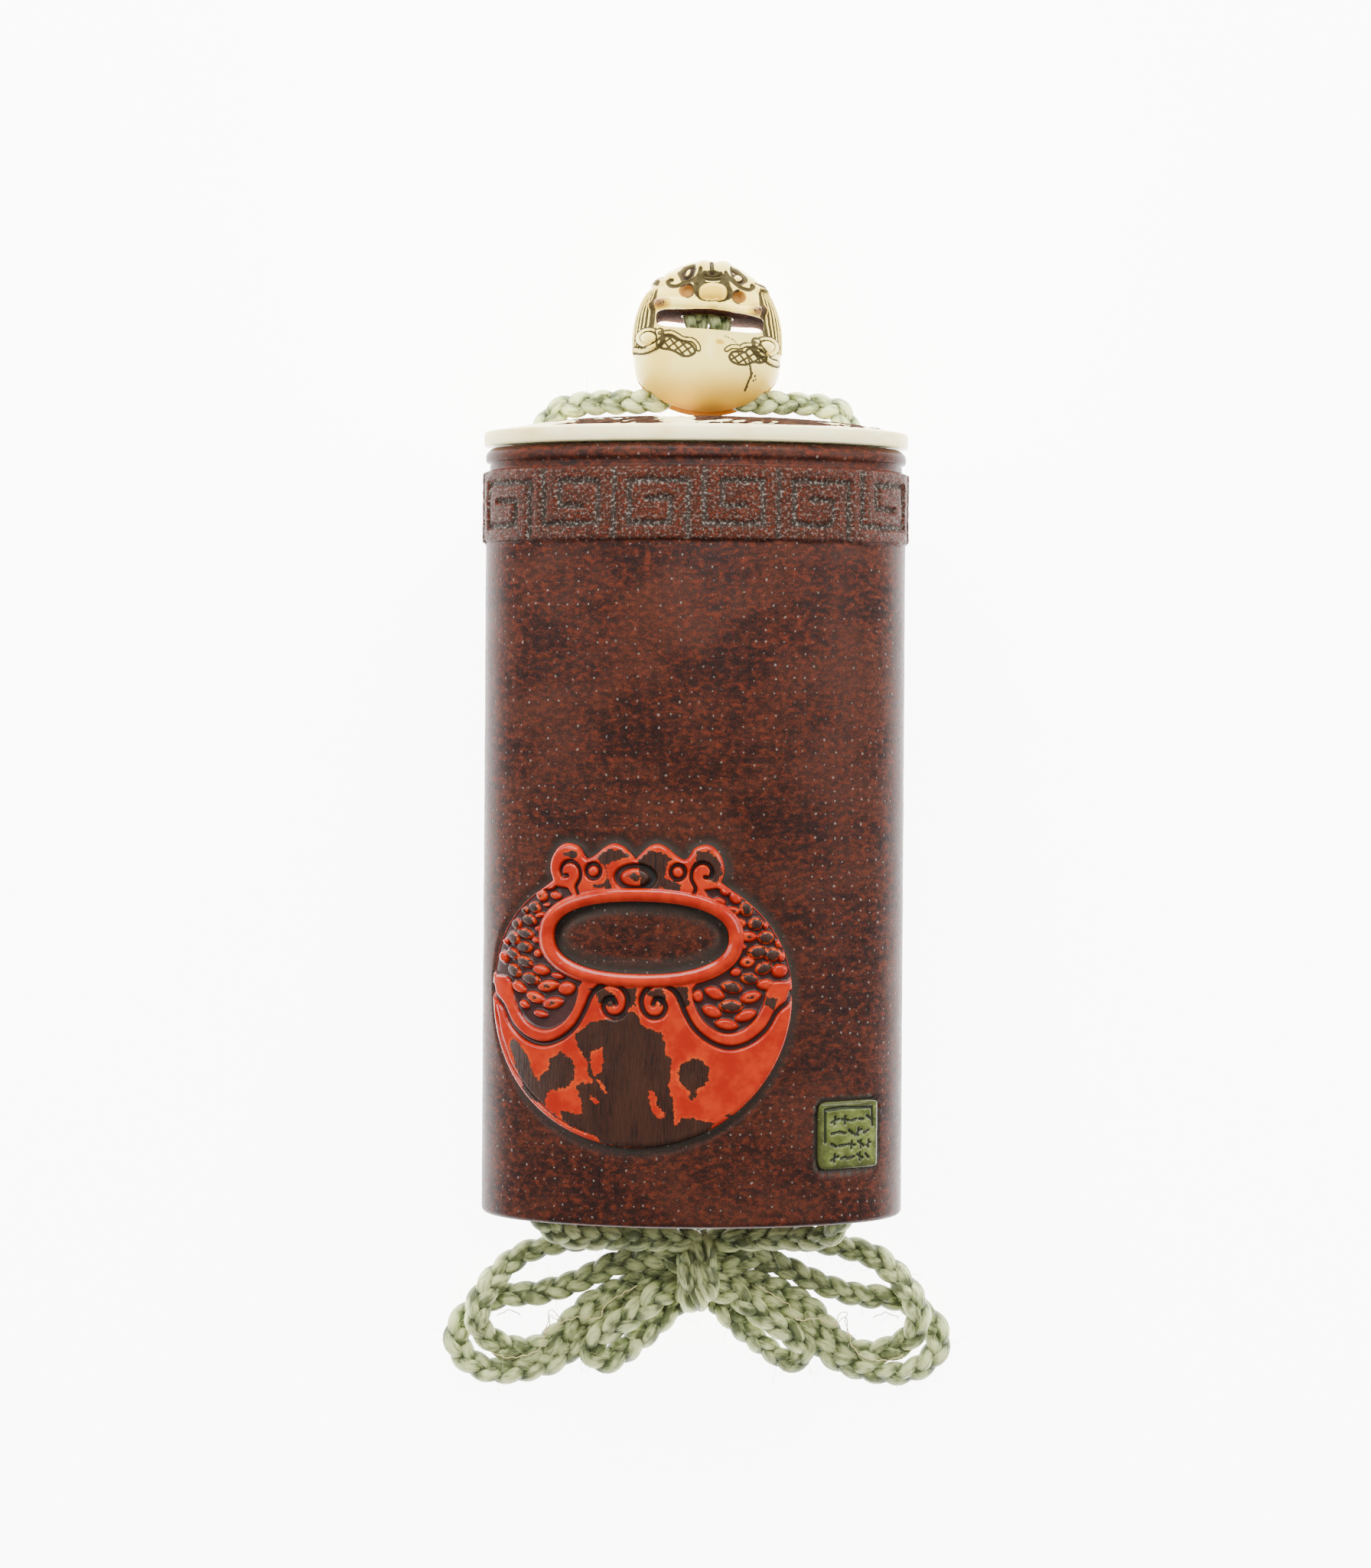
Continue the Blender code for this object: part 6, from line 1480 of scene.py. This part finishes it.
        edge = 1 - rise(0.07, 0.20, np.abs(far - 0.06))
        height = height - 0.14 * np.maximum(lines * in_hatch, edge * front)
        dark = np.maximum(dark, np.maximum(lines * in_hatch * 0.9, edge * front))
        far = far_from(x, y, smooth_line(line, 4))[0]
        height = height + 0.16 * (1 - rise(0.08, 0.26, far)) * front
        dark = np.maximum(dark, 0.85 * (1 - rise(0.04, 0.13, np.abs(far - 0.26))) * front)
    far, run = far_from(x, y, CRACK)
    wide = 0.03 + 0.055 * rise(3.4, 4.6, run)
    crack = (1 - rise(wide, wide + 0.08, far + 0.03 * ripple(x, y, 0.5, 63))) * front
    dark = np.maximum(dark, crack * (0.45 + 0.5 * rise(3.4, 4.6, run)))
    for spot_x, spot_y, size in CRACK_SPOTS:
        dark = np.maximum(
            dark, 0.95 * (1 - rise(size * 0.5, size * 1.25, np.hypot(x - spot_x, y - spot_y))) * front)
    brown = np.maximum(
        brown, 0.55 * (1 - rise(0.5, 1.15, oval_share(x, y, 1.6, 8.8, 0.66, 0.34, 2.0, -0.15))) * front)
    return height, dark, brown


# %% [markdown]
# The plain bead is an ellipse swept up its height with a width that bulges low down. The carving moves
# its points along their normals. Then the drum's mouth, its hollow and the way for the cord are cut
# out of it as solids.

# %% Fish-drum bead
front_angles = np.radians(np.linspace(-100, 100, 331))
back_angles = np.radians(np.linspace(100, 260, 60))
angles = np.concatenate([front_angles, back_angles[1:]])
fine_share = np.linspace(0, 1, 4001)
fine_width = np.where(fine_share < 0.45, np.sqrt(1 - (np.clip(0.45 - fine_share, 0, 1) / 0.47) ** 3.2),
                      np.sqrt(np.clip(1 - (np.clip(fine_share - 0.45, 0, 1) / 0.55) ** 2.2, 0, 1)))
run = np.concatenate([[0], np.cumsum(np.hypot(np.diff(fine_width) * 9.5,
                                              np.diff(fine_share) * BEAD_HEIGHT))])
bead_share = np.interp(np.linspace(0, run[-1], 232), run, fine_share)
width = np.interp(bead_share, fine_share, fine_width)
width[-1] = 0
plain = np.stack([BEAD_HALF_WIDTH * width[:, None] * np.sin(angles),
                  BEAD_HEIGHT * bead_share[:, None] + 0 * angles,
                  BEAD_HALF_DEPTH * width[:, None] * np.cos(angles)], axis=-1)
outward = np.stack([plain[..., 0] / BEAD_HALF_WIDTH ** 2,
                    np.broadcast_to((bead_share[:, None] - 0.45) * 1.2 / BEAD_HEIGHT, plain[..., 0].shape),
                    plain[..., 2] / BEAD_HALF_DEPTH ** 2], axis=-1)
outward /= np.linalg.norm(outward, axis=-1, keepdims=True)
all_angles = np.broadcast_to(np.where(angles > math.pi, angles - math.tau, angles), plain[..., 0].shape)
height, dark, brown = bead_carving(plain[..., 0], plain[..., 1], all_angles)
top_fade = rise(0, 0.10, width)[:, None]
carved = plain + outward * (height * top_fade)[..., None]
carved[..., 1] = np.clip(carved[..., 1], 0, BEAD_HEIGHT)
carved += (BEAD_X, BEAD_BOTTOM, BEAD_Z)
carved[..., 2] = np.maximum(carved[..., 2], 0)
low_cap = np.array([[BEAD_X, BEAD_BOTTOM, BEAD_Z]])
bead_points = np.concatenate([carved.reshape(-1, 3), low_cap])
count = len(angles)
fan = np.stack([np.arange(1, count), np.arange(count - 1), np.full(count - 1, len(bead_points) - 1)],
               axis=1)
bead = make_piece("ivory_bead", bead_points * MM, [grid_faces(len(bead_share), count), fan], None,
                  {"dark": np.append(dark, 0), "brown": np.append(brown, 0),
                   "cut": np.zeros(len(bead_points))})

# %% [markdown]
# The hollow, the upright passage, the notch below and the mouth are cut out as solids. The cut faces keep
# a value of their own, so that the finish can paint shade inside.

# %% Hollow and mouth of the bead
def tool(points, faces):
    """A solid to cut with, whose surface is marked as cut."""
    return make_piece("cutting tool", np.asarray(points) * MM, faces, None, {"cut": np.ones(len(points))})


def prism(loop, low, high, axis, steps=40):
    """A straight block over an outline, along the axis with that number, in rings."""
    loop = np.asarray(loop)
    other = [k for k in range(3) if k != axis]
    points = np.zeros((steps + 1, len(loop), 3))
    points[:, :, other[0]] = loop[:, 0]
    points[:, :, other[1]] = loop[:, 1]
    points[:, :, axis] = np.linspace(low, high, steps + 1)[:, None]
    ring = np.arange(len(loop))
    following = np.roll(ring, -1)
    first = np.arange(steps)[:, None] * len(loop)
    sides = np.stack([first + ring, first + following, first + following + len(loop),
                      first + ring + len(loop)], axis=-1).reshape(-1, 4)
    return tool(points.reshape(-1, 3), [ring[None], ring[None] + steps * len(loop), sides])


def cut_away(piece, tools):
    """Takes tools out of a piece, one after another, and keeps the result as its mesh."""
    for item in tools:
        step = piece.modifiers.new("cut", "BOOLEAN")
        step.operation = "DIFFERENCE"
        step.solver = "MANIFOLD"
        step.object = item
    shape = bpy.data.meshes.new_from_object(piece.evaluated_get(bpy.context.evaluated_depsgraph_get()))
    piece.modifiers.clear()
    shape.materials.clear()
    piece.data = shape
    for item in tools:
        bpy.data.objects.remove(item)
    shape.shade_smooth()
    shape.set_sharp_from_angle(angle=math.radians(50))
    print(piece.name, "triangles", sum(len(polygon.vertices) - 2 for polygon in shape.polygons),
          "attributes", [layer.name for layer in shape.attributes])


HOLLOW_UP = 4.7
MOUTH_UP = 11.75
theta, phi = np.meshgrid(np.linspace(0, math.tau, 49), np.linspace(0, math.pi, 25))
ball = np.stack([BEAD_X + 6.6 * np.sin(phi) * np.cos(theta), BEAD_BOTTOM + HOLLOW_UP + 5.3 * np.cos(phi),
                 BEAD_Z + 4.4 * np.sin(phi) * np.sin(theta)], axis=-1)
hollow = tool(ball.reshape(-1, 3), [grid_faces(*theta.shape)])
passage = prism(superellipse(BEAD_X, BEAD_Z, 3.4, 2.2, 48, 2.6), BEAD_BOTTOM + HOLLOW_UP,
                BEAD_BOTTOM + 17.6, 1)
notch = prism(superellipse(BEAD_BOTTOM, BEAD_Z, 4.6, 3.6, 48), BEAD_X - 14, BEAD_X + 14, 0)
mouth_line = superellipse(0, 0, 7.15, 1.32, 96, 4.0)
tilt = math.radians(-4)
mouth_line = np.stack([
    BEAD_X + 0.3 + mouth_line[:, 0] * math.cos(tilt) - mouth_line[:, 1] * math.sin(tilt),
    BEAD_BOTTOM + MOUTH_UP + mouth_line[:, 0] * math.sin(tilt) + mouth_line[:, 1] * math.cos(tilt)],
    axis=1)
mouth_line[:, 1] += 0.10 * np.sin(mouth_line[:, 0] * 0.8) * (mouth_line[:, 1] > BEAD_BOTTOM + 11.7)
mouth = prism(mouth_line, -8, 28, 2)
corner = np.array([(-11.5, -1.0), (-4.3, -1.0), (-4.6, 0.6), (-5.6, 1.3), (-6.7, 2.0), (-7.7, 2.9),
                   (-11.5, 3.3)])
corners = [prism(corner * (side, 1) + (BEAD_X, BEAD_BOTTOM), BEAD_Z + 1.0, 28, 2) for side in (1, -1)]
cut_away(bead, [hollow, passage, notch, mouth, *corners])
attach(bead, "root")
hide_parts("fish_drum_bead")

# %% [markdown]
# Old ivory is cream on top, and it is painted warmer below as a painted glow of the light that comes
# through it. The grooves were darkened on purpose. Cut surfaces inside are painted dark reddish brown as
# painted shade in the hollow, with a painted orange glow near the bottom.

# %% Ivory of the bead
ivory = Finish("carved ivory")
place = ivory.place((1000, 1000, 1000))
cloud = ivory.noise(place, 0.16, 3, 0.5)
fine = ivory.noise(place, 2.6, 3, 0.6)
streaks = ivory.noise(ivory.place((2400, 500, 2400)), 1.0, 3, 0.6)
x, y, z = ivory.parts(ivory.place((1000, 1000, 1000)))
colour = ivory.blend(ivory.spread(cloud, 0.4, 0.7), (0.93, 0.69, 0.13), (0.97, 0.80, 0.22))
# Painted glow: warmer towards the bottom, where light comes through the ivory.
colour = ivory.blend(ivory.spread(y, BEAD_BOTTOM + 6.6, BEAD_BOTTOM + 0.6, 0, 0.95), colour,
                     (0.69, 0.37, 0.022))
colour = ivory.blend(ivory.spread(y, BEAD_BOTTOM + 1.5, BEAD_BOTTOM + 0.3, 0, 0.85), colour,
                     (0.60, 0.27, 0.045))
honey = ivory.spread(ivory.value_of("brown"), 0.0, 0.30)
colour = ivory.blend(ivory.times(honey, 0.85), colour, (0.64, 0.40, 0.015))
colour = ivory.blend(ivory.spread(ivory.value_of("brown"), 0.32, 0.90, 0, 0.80), colour,
                     (0.20, 0.065, 0.030))
dark = ivory.times(ivory.value_of("dark"), ivory.spread(fine, 0.2, 0.6, 0.75, 1.0))
colour = ivory.blend(ivory.times(ivory.spread(dark, 0.06, 0.42), 0.95), colour,
                     (0.016, 0.013, 0.012))
# Painted shade inside the hollow and the mouth, with a painted orange glow near the bottom.
inside_shade_and_glow = ivory.blend(ivory.spread(streaks, 0.3, 0.7), (0.055, 0.022, 0.015), (0.20, 0.085, 0.055))
inside_shade_and_glow = ivory.blend(ivory.spread(y, BEAD_BOTTOM + 5.0, BEAD_BOTTOM + 3.0, 0, 1), inside_shade_and_glow, (0.62, 0.24, 0.05))
colour = ivory.blend(ivory.spread(ivory.value_of("cut"), 0.4, 0.6), colour, inside_shade_and_glow)
rough = ivory.sum("MAXIMUM", ivory.spread(dark, 0.1, 0.5, 0.22, 0.9),
                  ivory.spread(ivory.value_of("cut"), 0.4, 0.6))
ivory.set(Base_Color=colour, Roughness=rough, Normal=ivory.bump(fine, 0.00004, 0.5))
ivory.shader.inputs["Subsurface Weight"].default_value = 0.12
ivory.shader.inputs["Subsurface Scale"].default_value = 0.001
ivory.shader.inputs["Subsurface Radius"].default_value = (1.0, 0.6, 0.3)
ivory.shader.inputs["Specular IOR Level"].default_value = 0.10
bead.data.materials.append(ivory.material)

# %% [markdown]
# The braid is sage-green silk. Fine bright threads run along each strand, partly as painted sheen. The
# hollows between strands get painted shade, the outer crests are paler from wear and painted highlight,
# and strands that lie low under others or under the box get painted shade. The flat map runs along the
# strand, so stretched noise on it draws the threads.

# %% Silk
silk = Finish("plaited silk")
run_place = silk.place((0.45, 8, 1), flat=True)
long_threads = silk.noise(run_place, 1.0, 4, 0.65, 0.3)
fine_threads = silk.noise(silk.place((1.2, 36, 1), flat=True), 1.0, 3, 0.7, 0.2)
# Painted sheen: bands of painted highlight and painted shade along each strand.
painted_sheen_bands = silk.noise(silk.place((0.42, 2.6, 1), flat=True), 1.0, 2, 0.5)
patches = silk.noise(silk.place((130, 130, 130)), 1.0, 2, 0.5)
# Outer crests of the strands: painted highlight, and paler from wear.
crest = silk.spread(silk.value_of("depth"), 1.45, 1.80, 0.0, 0.60)
# Share for the painted shade in the hollows between strands.
depth = silk.spread(silk.value_of("depth"), 0.98, 1.52)
colour = silk.blend(silk.spread(long_threads, 0.33, 0.67), (0.018, 0.030, 0.005), (0.40, 0.49, 0.14))
# Painted sheen, in part: fine bright threads along the strands.
colour = silk.blend(silk.spread(fine_threads, 0.40, 0.80), colour, (0.84, 0.92, 0.50))
colour = silk.blend(silk.spread(patches, 0.35, 0.7, 0, 0.30), colour, (0.17, 0.22, 0.06))
colour = silk.blend(crest, colour, (0.88, 0.95, 0.42))
# Painted highlight and painted shade in bands along the strands.
colour = silk.blend(silk.spread(painted_sheen_bands, 0.48, 0.62, 0, 0.60), colour, (0.90, 0.96, 0.44))
colour = silk.blend(silk.spread(painted_sheen_bands, 0.50, 0.36, 0, 0.80), colour, (0.050, 0.070, 0.014))
colour = silk.blend(silk.spread(long_threads, 0.52, 0.36, 0, 0.60), colour, (0.045, 0.065, 0.012))
# Painted shade in the hollows between strands.
colour = silk.blend(silk.spread(depth, 0.0, 1.0, 0.95, 0.0), colour, (0.010, 0.015, 0.004))
# Painted shade on strands that lie low in the bow, under others.
x, y, z = silk.parts(silk.place((1000, 1000, 1000)))
painted_shade_low = silk.times(silk.spread(z, 0.8, 3.4, 0.75, 0.0), silk.spread(y, -64.0, -60.0, 1.0, 0.0))
colour = silk.blend(painted_shade_low, colour, (0.045, 0.065, 0.016))
# Painted shade on strands under the base of the box, near the bow's middle.
beside = silk.spread(silk.sum("ABSOLUTE", silk.sum("SUBTRACT", x, 1.0)), 13.0, 24.0, 1.0, 0.15)
painted_shade_under_box = silk.times(silk.spread(y, -79.0, -68.0, 0.0, 0.92), beside)
painted_shade_under_box = silk.times(painted_shade_under_box, silk.spread(z, 3.4, 5.6, 1.0, 0.35))
painted_shade_under_box = silk.times(painted_shade_under_box, silk.spread(y, -62.0, -60.0, 1.0, 0.0))
colour = silk.blend(painted_shade_under_box, colour, (0.020, 0.022, 0.007))
relief = silk.plus(silk.times(long_threads, 0.7), fine_threads)
silk.set(Base_Color=colour, Roughness=silk.spread(fine_threads, 0.2, 0.8, 0.34, 0.58),
         Normal=silk.bump(relief, 0.00016, 1.0))
silk.shader.inputs["Sheen Weight"].default_value = 0.05
silk.shader.inputs["Specular IOR Level"].default_value = 0.35
silk.shader.inputs["Sheen Roughness"].default_value = 0.4
silk.shader.inputs["Sheen Tint"].default_value = (0.90, 0.96, 0.78, 1)
for piece in (*cords.values(), knot):
    piece.data.materials.append(silk.material)

loose = Finish("loose silk")
tint = loose.value_of("tint")
colour = loose.blend(loose.spread(tint, 0.4, 0.6), (0.50, 0.56, 0.30), (0.80, 0.62, 0.28))
colour = loose.blend(loose.spread(tint, 1.4, 1.6), colour, (0.12, 0.018, 0.030))
loose.set(Base_Color=colour, Roughness=0.5)
threads.data.materials.append(loose.material)

# %% [markdown]
# The photograph has a pure white ground and light from all round, so the scene has a pale floor, a
# bright even sky and soft lamps.

# %% Floor and light
floor_mesh = bpy.data.meshes.new("floor")
floor_mesh.from_pydata([(-1.5, -1.5, 0), (1.5, -1.5, 0), (1.5, 1.5, 0), (-1.5, 1.5, 0)], [], [(0, 1, 2, 3)])
floor = bpy.data.objects.new("floor", floor_mesh)
bpy.context.collection.objects.link(floor)
paper = Finish("pale paper")
paper.set(Base_Color=(0.93, 0.93, 0.92), Roughness=0.9)
x, y, _ = paper.parts(paper.place((1, 1, 1)))
away = paper.sum("MAXIMUM", paper.sum("ABSOLUTE", x), paper.times(paper.sum("ABSOLUTE", y), 0.82))
paper.shader.inputs["Emission Color"].default_value = (1.0, 1.0, 0.995, 1)
paper.set(Emission_Strength=paper.spread(away, 0.100, 0.150, 8.5, 0.5))
floor.data.materials.append(paper.material)

world = bpy.data.worlds.new("sky")
bpy.context.scene.world = world
world.use_nodes = True
world.node_tree.nodes["Background"].inputs["Color"].default_value = (1.0, 1.0, 1.0, 1)
world.node_tree.nodes["Background"].inputs["Strength"].default_value = 0.54


def lamp(name, place, aim, width, height, power):
    """A soft rectangular lamp that looks at a point."""
    data = bpy.data.lights.new(name, "AREA")
    data.shape = "RECTANGLE"
    data.size = width
    data.size_y = height
    data.energy = power
    item = bpy.data.objects.new(name, data)
    bpy.context.collection.objects.link(item)
    item.location = place
    offset = np.array(aim) - np.array(place)
    flat_reach = math.hypot(offset[0], offset[1])
    item.rotation_euler = (math.atan2(flat_reach, -offset[2]), 0,
                           math.atan2(offset[1], offset[0]) - math.pi / 2)
    return item


lamp("soft lamp left", (-0.62, 0.30, 0.55), (0, 0, 0), 0.45, 0.5, 5.6)
lamp("soft lamp right", (0.66, 0.22, 0.52), (0, 0, 0), 0.45, 0.5, 5.6)
lamp("soft lamp top", (0.0, 0.62, 0.42), (0, 0, 0), 0.7, 0.30, 12.0)
near = lamp("small lamp on the ivory", (0.03, 0.072, 0.42), (0.0014, 0.068, 0.02), 0.05, 0.05, 1.0)
near.data.type = "SPOT"
near.data.energy = 5.5
near.data.spot_size = 0.34
near.data.spot_blend = 1.0
near.data.shadow_soft_size = 0.02
